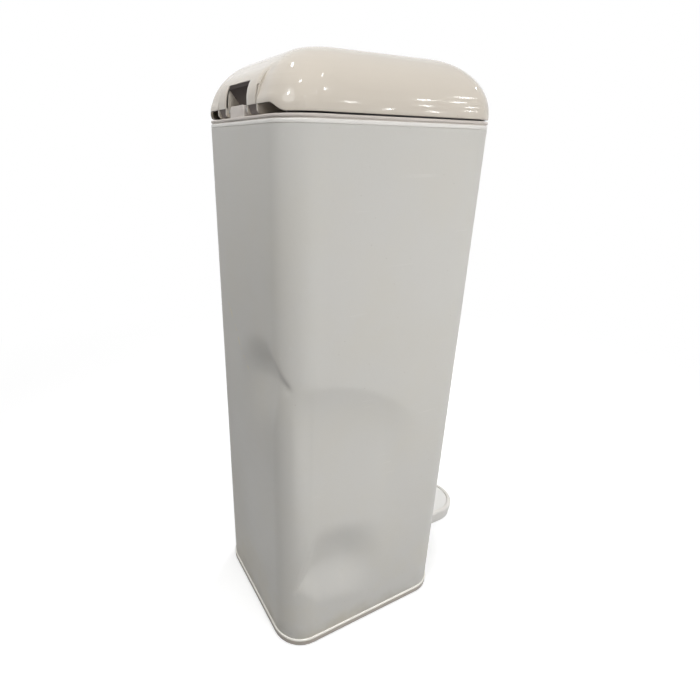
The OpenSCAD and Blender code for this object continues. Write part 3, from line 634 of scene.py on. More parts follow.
def buildBaseTrim():
    low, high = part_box("base_ring")
    size = (high.x - low.x, high.y - low.y, plan["corner"] + base["proud"])
    bottom, top = base["trim"]
    trim = ring("baseTrim", *size, bottom, top, base["proud"] + base["inset"])
    roundRims(trim, size, base["trim"], base["nose"], 4)
    lip = ring("lip", *size, *base["lip"], base["proud"] - base["lipIn"])
    roundRims(lip, size, base["lip"][1:], base["nose"], 5)
    within = sleeve["sheet"] + sleeve["fit"]
    wall = ring("wall", *planInset(within), base["wallLow"], high.z, base["wall"])
    front = -plan["depth"] / 2
    way, out, into, wayLow = base["wayOut"]
    carve(wall, box("wayOut", (-way, front - out, wayLow), (way, front + into, high.z + past)))
    within += base["ledgeIn"]
    ledge = ring("ledge", *planInset(within), base["floor"], top, base["ledge"] - within)
    parts = [trim, lip, wall, ledge]
    bossIn, radius, bossTop = base["boss"]
    reach = (plan["corner"] - bossIn) * math.sqrt(0.5)
    for x in (-1, 1):
        for y in (-1, 1):
            centre = (
                x * (plan["width"] / 2 - plan["corner"] + reach),
                y * (plan["depth"] / 2 - plan["corner"] + reach),
            )
            parts.append(drum("boss", centre, radius, base["floor"], bossTop, 24))
    return smoothed(merge(parts, "baseTrim"))


footRing = {"in": 0.005, "wide": 0.007, "nose": 0.0006}


def buildFoot():
    low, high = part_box("foot_ring")
    size = (high.x - low.x, high.y - low.y, plan["corner"] - footRing["in"])
    made = ring("footRing", *size, low.z, high.z, footRing["wide"])
    roundRims(made, size, (low.z, high.z), footRing["nose"], 2)
    return smoothed(made)


lid = {
    "low": 0.5854,
    "curveLow": 0.587,
    "top": 0.637,
    "round": 0.055,
    "segments": 18,         # over the shoulder
    "cornerSides": 16,
    "crown": (0.75, 0.65, 0.5),     # shares of the rings on the nearly flat crown
    "wall": 0.0026,
    "hood": 0.045,          # half the width of the hinge housing
    "pocket": 0.0255,       # half the width of its pocket
    "slit": 0.0014,
    "slitTop": 0.6065,
    "relief": 0.592,
    "reliefHalf": 0.070,
    "reliefEnd": 0.087,
    "reliefFrom": 0.600,    # the raised edge eases out below this height
    "cheekWall": 0.0022,
    "soft": (0.0060, 0.0065, 0.008),    # how far the housing's side blends, in, out and up from a slit's top
    "pin": (0.1094, 0.5895),
    "cheekRound": 0.0049,
    "cheekEdge": 0.0003,
    "cheekBack": 0.5965,    # top of its straight back
    "cheekDome": (0.6205, 0.6225),
    "cheekTop": 0.6255,
    "ramp": ((0.0881, 0.5853), (0.1096, 0.6109)),
    "rampWall": (0.003, 0.001),     # its thickness, and the width of its top edge and side laps
    # sloping panels beside the pocket's back close the housing under the pin
    "panel": ((0.1134, 0.5921), (0.1106, 0.5854), (0.1091, 0.5854), (0.1119, 0.5921)),
    "edge": 0.00045,        # rounding of the moulded edges
    "skin": 0.0004,         # how far the cheek walls stay under the housing's skin
    "drop": 0.0002,         # the same at its upright back
}
hoodPoints = ((0.114, 0.596), (0.114, 0.613), (0.0972, 0.623))
# where the back of the lid is cut finer: from this far back for columns, rows, housing, raised edge, openings
lidCuts = {
    "from": {"columns": 0.055, "rows": 0.07, "hood": 0.06, "relief": 0.075, "open": 0.085},
    "hoodHalf": 0.06,
    "steps": (0.0012, 0.0014),      # inside and outside a slit
    "pocket": (0.006, 0.012),       # beside the pocket
    "beside": (0.0575, 0.0615, 0.0655),
    "rows": (0.596, 0.600, 0.6035, 0.6088, 0.6135, 0.616, 0.619, 0.623, 0.626),
    "shortEdge": 0.003,
}


def hoodPoint(t):
    a, b, c = [Vector(point) for point in hoodPoints]
    return (1 - t) ** 2 * a + 2 * t * (1 - t) * b + t * t * c


def hoodDepth(z):
    # how far back the housing reaches at a height, by halving
    if z <= hoodPoints[0][1]:
        return hoodPoints[0][0]
    low, high = 0.0, 1.0
    while high - low > 1e-9:
        t = (low + high) / 2
        low, high = (t, high) if hoodPoint(t)[1] < z else (low, t)
    return hoodPoint(low)[0]


def domeInset(z, wall=0.0):
    # how far in from the outline the dome's profile is at a height
    rise = lid["top"] - lid["curveLow"] - wall
    sine = min(max((z - lid["curveLow"]) / rise, 0), 1)
    return wall + (lid["round"] - wall) * (1 - math.sqrt(1 - sine * sine))


def domeBlock():
    # the upright lower edge, then one ring after another drawn in and up over the shoulder
    half = Vector((plan["width"] / 2, plan["depth"] / 2))
    made = roundedBlock("lidCover", *outline, lid["low"], lid["curveLow"], segments=lid["cornerSides"])
    remove(made, faceDown)
    pick(made, faceUp)
    last = half.copy()
    lastZ = lid["curveLow"]
    for i in range(1, lid["segments"] + 1):
        angle = math.radians(90 * i / lid["segments"])
        size = half - Vector((1, 1)) * lid["round"] * (1 - math.cos(angle))
        z = lid["curveLow"] + (lid["top"] - lid["curveLow"]) * math.sin(angle)
        bpy.ops.mesh.extrude_region_move(TRANSFORM_OT_translate={"value": (0, 0, z - lastZ)})
        bpy.ops.transform.resize(value=(size.x / last.x, size.y / last.y, 1), center_override=(0, 0, z))
        last, lastZ = size, z
    for share in lid["crown"]:
        bpy.ops.mesh.extrude_region_move(TRANSFORM_OT_translate={"value": (0, 0, 0)})
        bpy.ops.transform.resize(value=(share, share, 1), center_override=(0, 0, lid["top"]))
    toObject()
    return made


def shareOfHood(co):
    # 1 on the housing and 0 beside it; the step is sharp at the slits and soft above them
    softIn, softOut, softUp = lid["soft"]
    soft = smoothStep(lid["slitTop"], lid["slitTop"] + softUp, co.z)
    inner = lid["hood"] - softIn * soft
    outer = lid["hood"] + lid["slit"] + softOut * soft
    return 1 - smoothStep(inner, outer, abs(co.x))


def raisedEdge(x):
    # height of the lid's lower edge along the back
    rise = smoothStep(lid["reliefEnd"], lid["reliefHalf"], abs(x)) if abs(x) > lid["reliefHalf"] else 1
    return lid["low"] + rise * (lid["relief"] - lid["low"])


def cutLid(made):
    # columns beside the slits and the pocket, then rows up the back
    hood, pocket, slit = lid["hood"], lid["pocket"], lid["slit"]
    backFrom = lidCuts["from"]
    inStep, outStep = lidCuts["steps"]
    columns = [pocket, hood, hood + slit]
    columns += [hood - i * inStep for i in range(1, 6)] + [hood + slit + i * outStep for i in range(1, 6)]
    columns += [pocket * 0.5] + [pocket + away for away in lidCuts["pocket"]]
    columns += lidCuts["beside"]
    for x in columns:
        for side in (-1, 1):
            splitAt(made, (side * x, 0, 0), (1, 0, 0), lambda centre, facing: centre.y > backFrom["columns"])
    splitAt(made, (0, 0, 0), (1, 0, 0), lambda centre, facing: centre.y > backFrom["columns"])

    def outerEdge(a, b):
        return (
            level(a, b) and (a - b).length > lidCuts["shortEdge"]
            and min(a.y, b.y) > backFrom["columns"] and min(abs(a.x), abs(b.x)) > lidCuts["beside"][-1]
        )

    cutRows(made, outerEdge, 1)
    for z in sorted([lid["relief"], lid["slitTop"], hoodPoint(0.5)[1], *lidCuts["rows"]]):
        splitAt(made, (0, 0, z), (0, 0, 1), lambda centre, facing: centre.y > backFrom["rows"])


def buildLidShell():
    made = domeBlock()
    cutLid(made)
    backFrom, eased = lidCuts["from"], lid["reliefFrom"]
    for vertex in made.data.vertices:
        co = vertex.co
        if co.y > backFrom["hood"] and co.z < hoodPoints[2][1] and abs(co.x) < lidCuts["hoodHalf"]:
            proud = max(hoodDepth(co.z) - co.y, 0)
            co.y += proud * shareOfHood(co)
        if co.y > backFrom["relief"] and co.z < eased:
            share = (co.z - lid["low"]) / (eased - lid["low"])
            edge = raisedEdge(co.x)
            co.z = edge + share * (eased - edge)

    def opened(centre, facing):
        # the pocket and the two slits
        x, z = abs(centre.x), centre.z
        inPocket = x < lid["pocket"] and z < hoodPoint(0.5)[1]
        inSlit = lid["hood"] < x < lid["hood"] + lid["slit"] and z < lid["slitTop"]
        return centre.y >= backFrom["open"] and (inPocket or inSlit)

    remove(made, opened)
    thicken(made, lid["wall"])
    weld(made)
    bevelSharp(made, lid["edge"], 2, 55)
    return made


def cheekPoints():
    # a wall of the housing, from its round end under the pin up into the dome
    back = hoodPoints[0][0]
    skin, drop = lid["skin"], lid["drop"]
    rampY, rampZ = lid["ramp"][0]
    points = [(rampY, rampZ)]
    points += arc(lid["pin"], lid["cheekRound"], -95, -25, 6)
    points += [(back - drop, lid["relief"]), (back - drop, lid["cheekBack"])]
    for t in (0.15, 0.3, 0.45, 0.6, 0.75):
        y, z = hoodPoint(t)
        points.append((y - skin - lid["cheekEdge"], z - skin))
    points += [(plan["depth"] / 2 - domeInset(z, lid["wall"] / 2), z) for z in lid["cheekDome"]]
    return points + [(rampY, lid["cheekTop"])]


def buildPocketBack():
    # the sloping back of the pocket, which overhangs
    low, top = lid["ramp"]
    thick, edge = lid["rampWall"]
    half = lid["pocket"] + edge
    points = [low, (low[0] + thick, low[1]), (top[0], top[1] - thick), top, (top[0] - edge, top[1])]
    parts = [sideOutline("ramp", points, -half, half)]
    start, end = lid["pocket"] + lid["cheekWall"], lid["hood"]
    for x in (-end, start):
        parts.append(sideOutline("panel", lid["panel"], x, x + end - start))
    return smoothed(merge(parts, "pocketBack"))


crank = {
    "boss": 0.004,
    "wall": 0.003,
    "from": (0.0065, -0.0095),      # where each arm starts
    "joins": ((0.006, 0.006), (0, 0.0002)),     # how it runs into the foot of the pocket's back
    "neck": (0.002, 0.003),
    "edge": 0.0004,
}
screwPosts = {"radius": 0.004, "x": (-0.060, 0.060), "y": (-0.074, 0.060), "low": 0.5921, "top": 0.620}


def buildCrankArms():
    # arms that the push rod lifts
    y, z = lid["ramp"][0]
    pinLow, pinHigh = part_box("crank_pin")
    pinY, pinZ = (pinLow.y + pinHigh.y) / 2, (pinLow.z + pinHigh.z) / 2
    points = arc((pinY, pinZ), crank["boss"], 180, 360, 10)
    points.append((pinY + crank["neck"][0], z + crank["neck"][1]))
    points += [(y + into, z + up) for into, up in crank["joins"]]
    arms = []
    for x in crank["from"]:
        arm = sideOutline("arm", points, x, x + crank["wall"])
        bevelSharp(arm, crank["edge"], 2)
        arms.append(arm)
    return arms


def buildLid():
    parts = [buildLidShell()]
    pocket, wall = lid["pocket"], lid["cheekWall"]
    ear = lid["hood"] + lid["slit"]
    for x in (-ear - wall, -pocket - wall, pocket, ear):
        cheek = sideOutline("cheek", cheekPoints(), x, x + wall)
        bevelSharp(cheek, lid["cheekEdge"], 2)
        parts.append(cheek)
    parts += buildCrankArms()
    low, top = screwPosts["low"], screwPosts["top"]
    for x in screwPosts["x"]:
        for y in screwPosts["y"]:
            parts.append(drum("post", (x, y), screwPosts["radius"], low, top, 24))
    return smoothed(merge(parts, "lidCover"), 40)


bezel = {
    "fit": 0.00015,
    "wall": 0.0016,
    "lip": 0.004,
    "proud": 0.0016,
    "reach": 0.005,
    "nose": 0.0008,
}


def faceFront(piece, height):
    # stands a flat piece up in the front of the sleeve, its top outwards
    turn = Matrix.Rotation(math.radians(90), 4, "X")
    piece.data.transform(Matrix.Translation((0, -plan["depth"] / 2, height)) @ turn)


def buildBezel():
    z0, z1 = sleeve["slot"]
    lip, proud, wall = bezel["lip"], bezel["proud"], bezel["wall"]
    size = (sleeve["slotWidth"] - 2 * bezel["fit"], z1 - z0 - 2 * bezel["fit"], sleeve["slotCorner"])
    outer = grown(size, lip)
    tube = ring("slotBezel", *size, -bezel["reach"], proud - lap, wall, segments=8)
    rim = ring("rim", *outer, 0, proud, lip + wall)
    roundRims(rim, outer, [proud], bezel["nose"])
    made = merge([rim, tube], "slotBezel")
    faceFront(made, (z0 + z1) / 2)
    return smoothed(made)


bucket = {
    "size": (0.164, 0.166, 0.018),
    "taper": 0.009,
    "wall": 0.002,
    "flange": (0.007, 0.0025),
    "nose": 0.0006,
    "foot": 0.0025,
}


def buildBucket():
    low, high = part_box("inner_bucket")
    y, taper = collar["mouthY"], bucket["taper"]
    made = roundedBlock("bucketPail", *bucket["size"], low.z, high.z, y)
    openEnds(made)
    pick(made, lambda co: co.z < low.z + near, "VERT")
    bpy.ops.transform.shrink_fatten(value=-taper, use_even_offset=True)
    toObject()
    pick(made, lambda a, b: abs(a.z - low.z) < near and abs(b.z - low.z) < near, "EDGE")
    bpy.ops.mesh.edge_face_add()
    toObject()
    outwards(made)
    roundRims(made, grown(bucket["size"], -taper), [low.z], bucket["foot"], 4, y)
    thicken(made, bucket["wall"])
    reach, thick = bucket["flange"]
    size = grown(bucket["size"], reach)
    flange = ring("flange", *size, high.z - thick, high.z, reach + bucket["wall"] / 2, y)
    roundRims(flange, size, [high.z], bucket["nose"], y=y)
    return smoothed(merge([made, flange], "bucketPail"))


bagRing = {
    "wall": 0.0016,
    "skirt": 0.012,
    "under": 0.0003,        # how far the skirt stays under the lip's face
    "lip": 0.010,
    "size": (0.156, 0.158, 0.014),
    "nose": 0.0007,
    "notch": 0.009,
}


def buildBagRing():
    low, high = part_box("bag_ring")
    y, lip, wall = collar["mouthY"], bagRing["lip"], bagRing["wall"]
    lipLow = low.z + bagRing["skirt"]
    skirt = ring("bagRing", *bagRing["size"], low.z, high.z - bagRing["under"], wall, y)
    outer = grown(bagRing["size"], lip)
    flat = ring("lip", *outer, lipLow, high.z, lip + wall, y)
    for size in (outer, grown(bagRing["size"], -wall)):
        roundRims(flat, size, [high.z], bagRing["nose"], y=y)
    for side in (-1, 1):
        centre = (side * outer[0] / 2, y)
        carve(flat, drum("notch", centre, bagRing["notch"], lipLow - past, high.z + past))
    return smoothed(merge([flat, skirt], "bagRing"))


liner = {
    "inset": 0.0034,
    "thick": 0.0025,
    "cup": (0.042, 0.002, 0.020),   # radius, wall, height
    "cupEdge": 0.0007,
    "rib": (0.0015, 0.0025),
    "ribEdge": 0.0004,
    "seal": (0.1848, 0.1879, 0.028),
    "sealWide": 0.004,
    "sealEdge": 0.0014,
    "play": 0.0002,
    "wide": 0.2,            # beyond the panel on every side
}


def sealMiddle():
    low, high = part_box("lid_gasket")
    return (low.y + high.y) / 2


def buildLiner():
    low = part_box("lid_gasket")[1].z
    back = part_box("lid_liner")[1].y
    top = low + liner["thick"]
    wide = liner["wide"]
    panel = roundedBlock("linerPanel", *planInset(liner["inset"]), low, top, segments=14)
    carve(panel, box("back", (-wide, back, low - past), (wide, wide, top + past)))
    radius, wall, height = liner["cup"]
    centre = (0, collar["mouthY"])
    carve(panel, drum("hole", centre, radius, low - past, top + past, 96))
    cup = drum("cup", centre, radius + wall, low + lap, low + height + wall, 96)
    carve(cup, drum("hollow", centre, radius, low - past, low + height, 96))

    def atHole(co):
        return abs(co.z - low) < near and abs(math.hypot(co.x, co.y - centre[1]) - radius) < near

    bevelEdges(panel, lambda a, b: atHole(a) and atHole(b), liner["cupEdge"])
    parts = [panel, cup]
    half = liner["sealWide"] / 2
    ribWall, ribDrop = liner["rib"]
    y = sealMiddle()
    for away in (half + liner["play"] + ribWall, -half - liner["play"]):
        size = grown(liner["seal"], away)
        rib = ring("rib", *size, low - ribDrop, low + lap, ribWall, y)
        roundRims(rib, size, [low - ribDrop], liner["ribEdge"], 2, y)
        parts.append(rib)
    return smoothed(merge(parts, "linerPanel"))


def buildSeal():
    low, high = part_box("lid_gasket")
    wide, y = liner["sealWide"], sealMiddle()
    outer = grown(liner["seal"], wide / 2)
    made = ring("lidSeal", *outer, low.z, high.z, wide, y)
    for size in (outer, grown(liner["seal"], -wide / 2)):
        roundRims(made, size, [low.z], liner["sealEdge"], 4, y)
    return smoothed(made)


cap = {
    "plate": 0.0445,
    "nose": 0.0009,
    "wall": 0.0415,
    "thick": 0.0018,
    "drop": 0.00235,
    "vents": 12,
    "vent": (0.0174, 0.003),
    "ventAt": 0.0274,
    "hollow": (0.024, 0.009, 0.007),
    "hollowCorner": 0.004,
    "hollowDeep": 0.0015,
    "edge": 0.0003,
    "overlap": 0.0005,      # of the plate and the wall
    "lug": 12,              # degrees
    "lugReach": (0.0432, 0.0405),
    "lugUp": 0.0036,
    "lugThick": 0.0016,
}


def buildFilterCap():
    low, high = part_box("filter_cover")
    centre = (0, collar["mouthY"])
    top = low.z + cap["drop"]
    plate = drum("filterCap", centre, cap["plate"], low.z, top, 128)
    bevelEdges(plate, lambda a, b: level(a, b) and a.z < low.z + near, cap["nose"], 4)
    length, width = cap["vent"]
    tools = []
    for i in range(cap["vents"]):
        vent = roundedBlock("vent", length, width, width / 2 - near, low.z - past, top + past, segments=6)
        turn = Matrix.Rotation(math.radians((i + 0.5) * 360 / cap["vents"]), 4, "Z")
        outTo = Matrix.Translation((cap["ventAt"], 0, 0))
        vent.data.transform(Matrix.Translation((*centre, 0)) @ turn @ outTo)
        tools.append(vent)
    long, wide, away = cap["hollow"]
    size, deep = (long, wide, cap["hollowCorner"]), low.z + cap["hollowDeep"]
    for side in (-1, 1):
        tools.append(roundedBlock("hollow", *size, low.z - past, deep, centre[1] + side * away, 6))
    carve(plate, merge(tools, "vents"))
    bevelSharp(plate, cap["edge"], 2, 60)
    wall = drum("wall", centre, cap["wall"], low.z + cap["overlap"], high.z, 96)
    carve(wall, drum("inside", centre, cap["wall"] - cap["thick"], low.z - past, high.z + past, 96))
    parts = [plate, wall]
    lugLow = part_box("lid_gasket")[1].z + cap["lugUp"]
    outer, inner = cap["lugReach"]
    for start in (0, 120, 240):
        end = start + cap["lug"]
        points = arc(centre, outer, start, end, 6) + arc(centre, inner, end, start, 6)
        parts.append(sweepOutline("lug", [(x, y, lugLow) for x, y in points], (0, 0, cap["lugThick"])))
    return smoothed(merge(parts, "filterCap"))


pedal = {
    "back": 0.010,
    "lean": 0.0015,
    "round": 0.0030,
    "lip": 0.006,
    "wall": 0.0025,
    "panel": 0.002,
    "edge": 0.0004,
    "inlayDrop": 0.0009,
    "inlay": 0.0012,
    "inlayEdge": 0.0005,
    "fit": 0.0006,          # open groove round the inlay
    "notch": (0.015, 0.0435, 0.008, 0.001),     # half its width, top, how far in, how far past the foot
    "posts": (-0.142, -0.179),
    "post": (0.005, 0.04225, 0.0028),           # radius, low end, how far under the tread it ends
    "touch": 1e-4,
}


def pedalBlock(name, amount, z0, z1):
    # round front, straight sides and rounded back corners, drawn in by an amount
    low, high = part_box("pedal")
    made = box(name, (low.x + amount, low.y + amount, z0), (high.x - amount, high.y - amount, z1))
    # just short of half the width, so that the two front corners don't quite meet
    frontRound = (high.x - low.x) / 2 - amount - near / 10
    front = low.y + amount + near
    pick(made, lambda a, b: upright(a, b) and a.y < front, "EDGE")
    bpy.ops.mesh.bevel(offset=frontRound, segments=28, affect="EDGES", clamp_overlap=False)
    toObject()
    back = high.y - amount - near
    pick(made, lambda a, b: upright(a, b) and a.y > back, "EDGE")
    bpy.ops.mesh.bevel(offset=pedal["back"] - amount, segments=10, affect="EDGES", clamp_overlap=False)
    toObject()
    weld(made, near)
    return made


def sinkFace(piece, test, rim, drop):
    # insets the faces that pass and moves them down
    pick(piece, test)
    bpy.ops.mesh.inset(thickness=rim)
    bpy.ops.mesh.extrude_region_move(TRANSFORM_OT_translate={"value": (0, 0, -drop)})
    toObject()


def buildPedal():
    low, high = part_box("pedal")
    made = pedalBlock("pedalTread", 0, low.z, high.z)
    sunk = pedal["inlayDrop"] + pedal["inlay"]
    sinkFace(made, faceUp, pedal["lip"], sunk)
    hollow = high.z - low.z - sunk - pedal["panel"]
    sinkFace(made, faceDown, pedal["wall"], -hollow)
    middle = (low.y + high.y) / 2
    half = (high.x - low.x) / 2
    lean = 1 - pedal["lean"] / half
    pick(made, lambda co: co.z < low.z + near, "VERT")
    bpy.ops.transform.resize(value=(lean, lean, 1), center_override=(0, middle, low.z))
    toObject()
    outwards(made)
    back, touch = pedal["back"], pedal["touch"]

    def atRim(co):
        # the sides and the back, the round front, or a back corner
        side, behind = abs(co.x) - half, co.y - high.y
        if abs(co.z - high.z) > near:
            return False
        if side > -touch or behind > -touch or math.hypot(co.x, co.y - low.y - half) > half - 2 * touch:
            return True
        return min(side, behind) > -back and math.hypot(side + back, behind + back) > back - touch

    bevelEdges(made, lambda a, b: atRim(a) and atRim(b), pedal["round"], 6)
    weld(made, 2 * near, near)
    bevelSharp(made, pedal["edge"], 2, 60)
    weld(made, near, near)
    notchHalf, notchTop, into, under = pedal["notch"]
    notchLow = (-notchHalf, high.y - into, low.z - under)
    carve(made, box("leverWay", notchLow, (notchHalf, high.y + past, notchTop)))
    parts = [made]
    radius, postLow, postDrop = pedal["post"]
    for y in pedal["posts"]:
        parts.append(drum("post", (0, y), radius, postLow, high.z - postDrop, 32))
    return smoothed(merge(parts, "pedalTread"))


def buildPedalPad():
    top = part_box("pedal")[1].z - pedal["inlayDrop"]
    made = pedalBlock("pedalInlay", pedal["lip"] + pedal["fit"], top - pedal["inlay"], top)
    bevelEdges(made, lambda a, b: level(a, b) and a.z > top - near, pedal["inlayEdge"])
    return smoothed(made)


def feed(tree, socket, value):
    # a value given as a socket is linked, anything else is a plain value
    if isinstance(value, bpy.types.NodeSocket):
        tree.links.new(value, socket)
    else:
        socket.default_value = value


def addNode(tree, kind, inputs=None, **settings):
    made = tree.nodes.new("ShaderNode" + kind)
    for name, value in settings.items():
        setattr(made, name, value)
    for name, value in (inputs or {}).items():
        feed(tree, made.inputs[name], value)
    return made


def calc(tree, operation, a, b=0.0):
    made = addNode(tree, "Math", {0: a, 1: b}, operation=operation)
    return made.outputs[0]


def span(tree, value, fromLow, fromHigh, toLow=0.0, toHigh=1.0, smooth=False):
    kind = "SMOOTHSTEP" if smooth else "LINEAR"
    limits = {"From Min": fromLow, "From Max": fromHigh, "To Min": toLow, "To Max": toHigh}
    made = addNode(tree, "MapRange", {"Value": value, **limits}, interpolation_type=kind)
    return made.outputs["Result"]


def times(tree, a, b):
    return calc(tree, "MULTIPLY", a, b)


def plus(tree, a, b):
    return calc(tree, "ADD", a, b)


def minus(tree, a, b):
    return calc(tree, "SUBTRACT", a, b)


def larger(tree, a, b):
    return calc(tree, "MAXIMUM", a, b)


def heightOf(tree, where):
    return addNode(tree, "SeparateXYZ", {0: where}).outputs["Z"]


def blendColours(tree, share, a, b, kind="MIX"):
    # sockets 0, 6 and 7 of a colour mix are its share and its two colours
    return addNode(tree, "Mix", {0: share, 6: a, 7: b}, data_type="RGBA", blend_type=kind).outputs[2]


def noise(tree, where, scale, detail=2.0, rough=0.5):
    made = addNode(tree, "TexNoise", {"Vector": where, "Scale": scale, "Detail": detail, "Roughness": rough})
    return made.outputs["Fac"]


def objectSpace(tree, scale=(1, 1, 1), turn=(0, 0, 0)):
    where = addNode(tree, "TexCoord").outputs["Object"]
    turn = [math.radians(angle) for angle in turn]
    return addNode(tree, "Mapping", {"Vector": where, "Scale": scale, "Rotation": turn}).outputs["Vector"]


def newGroup(name, inputs, outputs):
    tree = bpy.data.node_groups.new(name, "ShaderNodeTree")

    def addSocket(label, way):
        kind = "NodeSocketColor" if label == "Color" else "NodeSocketFloat"
        return tree.interface.new_socket(label, in_out=way, socket_type=kind)

    for label, value in inputs.items():
        addSocket(label, "INPUT").default_value = value
    for label in outputs:
        addSocket(label, "OUTPUT")
    return tree, tree.nodes.new("NodeGroupInput").outputs, tree.nodes.new("NodeGroupOutput").inputs


def useGroup(tree, group, **values):
    made = tree.nodes.new("ShaderNodeGroup")
    made.node_tree = group
    for name, value in values.items():
        feed(tree, made.inputs[name.capitalize()], value)
    return made.outputs


def linear(value):
    share = value / 255
    return share / 12.92 if share <= 0.04045 else ((share + 0.055) / 1.055) ** 2.4


def tint(red, green, blue):
    # a colour as it is seen, made ready for a shader
    return linear(red), linear(green), linear(blue), 1


# what the shared textures are made of, each with its own values
textures = {
    "mottle": {"fineScale": 2600, "strength": 4},
    "smears": {
        "stretch": (1, 1, 0.45), "turn": (12, 8, 30),
        "wipeStretch": (0.15, 1, 1), "wipeTurn": (0, 35, 20), "wipeScale": 90,
        "shares": (0.7, 0.3), "range": (0.38, 0.64),
    },
    "hairlines": {
        # a turn and an offset for each direction
        "ways": (((20, 40, 10), 0.0), ((70, -25, 60), 3.1), ((-35, 15, 110), 7.7)),
        "stretch": (1, 0.035, 0.9), "scale": 260, "range": (0.735, 0.76),
        "patchScale": 14, "patchRange": (0.5, 0.66),
    },
    "grain": {"fineShare": 0.5},
    "grime": {
        "cloudScale": 38, "ragged": 0.05, "cloudRange": (0.3, 0.7, 0.4, 1),
        "speckScale": 120.0, "speckRange": (0.09, 0.03), "few": (0.86, 0.88),
    },
}


def makeMottle():
    # slow drift of tone over a surface, with a fine speckle in it
    look = textures["mottle"]
    tree, given, out = newGroup(
        "mottle", {"Color": (0.8, 0.8, 0.8, 1), "Scale": 8.0, "Drift": 0.03, "Speckle": 0.01}, ["Color"]
    )
    where = objectSpace(tree)
    slow = times(tree, minus(tree, noise(tree, where, given["Scale"], 3), 0.5), given["Drift"])
    fine = times(tree, minus(tree, noise(tree, where, look["fineScale"], 1), 0.5), given["Speckle"])
    tone = plus(tree, times(tree, plus(tree, slow, fine), look["strength"]), 1)
    grey = addNode(tree, "CombineXYZ", {"X": tone, "Y": tone, "Z": tone})
    tree.links.new(blendColours(tree, 1.0, given["Color"], grey.outputs[0], "MULTIPLY"), out["Color"])
    return tree


def makeSmears():
    # smears left by hands and cloths: they only change the gloss
    look = textures["smears"]
    tree, given, out = newGroup("smears", {"Scale": 18.0, "Low": 0.3, "High": 0.4}, ["Value"])
    wide = noise(tree, objectSpace(tree, look["stretch"], look["turn"]), given["Scale"], 4, 0.6)
    wiped = noise(tree, objectSpace(tree, look["wipeStretch"], look["wipeTurn"]), look["wipeScale"])
    wideShare, wipedShare = look["shares"]
    both = plus(tree, times(tree, wide, wideShare), times(tree, wiped, wipedShare))
    tree.links.new(span(tree, both, *look["range"], given["Low"], given["High"]), out["Value"])
    return tree


def makeHairlines():
    # hairline scratches in three directions, gathered in patches
    look = textures["hairlines"]
    tree, given, out = newGroup("hairlines", {"Scale": 1.0, "Amount": 0.5}, ["Mask"])
    total = None
    for turn, offset in look["ways"]:
        where = objectSpace(tree, look["stretch"], turn)
        scaled = addNode(tree, "VectorMath", {0: where, "Scale": given["Scale"]}, operation="SCALE")
        moved = addNode(tree, "VectorMath", {0: scaled.outputs[0], 1: (offset,) * 3}, operation="ADD")
        line = span(tree, noise(tree, moved.outputs[0], look["scale"], 1, 0.4), *look["range"])
        total = line if total is None else larger(tree, total, line)
    patch = span(tree, noise(tree, objectSpace(tree), look["patchScale"]), *look["patchRange"])
    mask = times(tree, times(tree, total, patch), given["Amount"])
    tree.links.new(mask, out["Mask"])
    return tree


def makeGrain():
    # the fine grain of a moulded or sprayed surface, as a height
    share = textures["grain"]["fineShare"]
    tree, given, out = newGroup("grain", {"Scale": 900.0, "Wave": 30.0}, ["Height"])
    where = objectSpace(tree)
    fine = noise(tree, where, given["Scale"])
    slow = noise(tree, where, given["Wave"], 1)
    tree.links.new(plus(tree, times(tree, fine, share), slow), out["Height"])
    return tree


def makeGrime():
    # dirt that gathers near the floor, and a few specks of dust anywhere
    look = textures["grime"]
    tree, given, out = newGroup("grime", {"Top": 0.06, "Amount": 0.4, "Specks": 0.3}, ["Mask"])
    where = objectSpace(tree)
    height = heightOf(tree, where)
    cloud = noise(tree, where, look["cloudScale"], 5, 0.65)
    ragged = look["ragged"]
    edge = plus(tree, times(tree, cloud, ragged), minus(tree, given["Top"], ragged / 2))
    low = times(tree, span(tree, height, edge, 0.0, smooth=True), given["Amount"])
    low = times(tree, low, span(tree, cloud, *look["cloudRange"]))
    cells = addNode(tree, "TexVoronoi", {"Vector": where, "Scale": look["speckScale"]})
    speck = span(tree, cells.outputs["Distance"], *look["speckRange"])
    some = span(tree, addNode(tree, "SeparateColor", {0: cells.outputs["Color"]}).outputs[0], *look["few"])
    speck = times(tree, times(tree, speck, some), given["Specks"])
    tree.links.new(larger(tree, low, speck), out["Mask"])
    return tree


mottle = makeMottle()
smears = makeSmears()
hairlines = makeHairlines()
grain = makeGrain()
grime = makeGrime()


def newMaterial(name, **plainValues):
    # plain values go straight onto the shader's own sockets
    made = bpy.data.materials.new(name)
    made.use_nodes = True
    tree = made.node_tree
    shader = tree.nodes["Principled BSDF"]
    for label, value in plainValues.items():
        shader.inputs[label.replace("_", " ")].default_value = value
    return made, tree, shader


def dress(tree, shader, colour, rough, height, depth):
    # puts colour, gloss and relief on a shader
    feed(tree, shader.inputs["Base Color"], colour)
    feed(tree, shader.inputs["Roughness"], rough)
    bump = addNode(tree, "Bump", {"Height": height, "Distance": depth})
    tree.links.new(bump.outputs["Normal"], shader.inputs["Normal"])


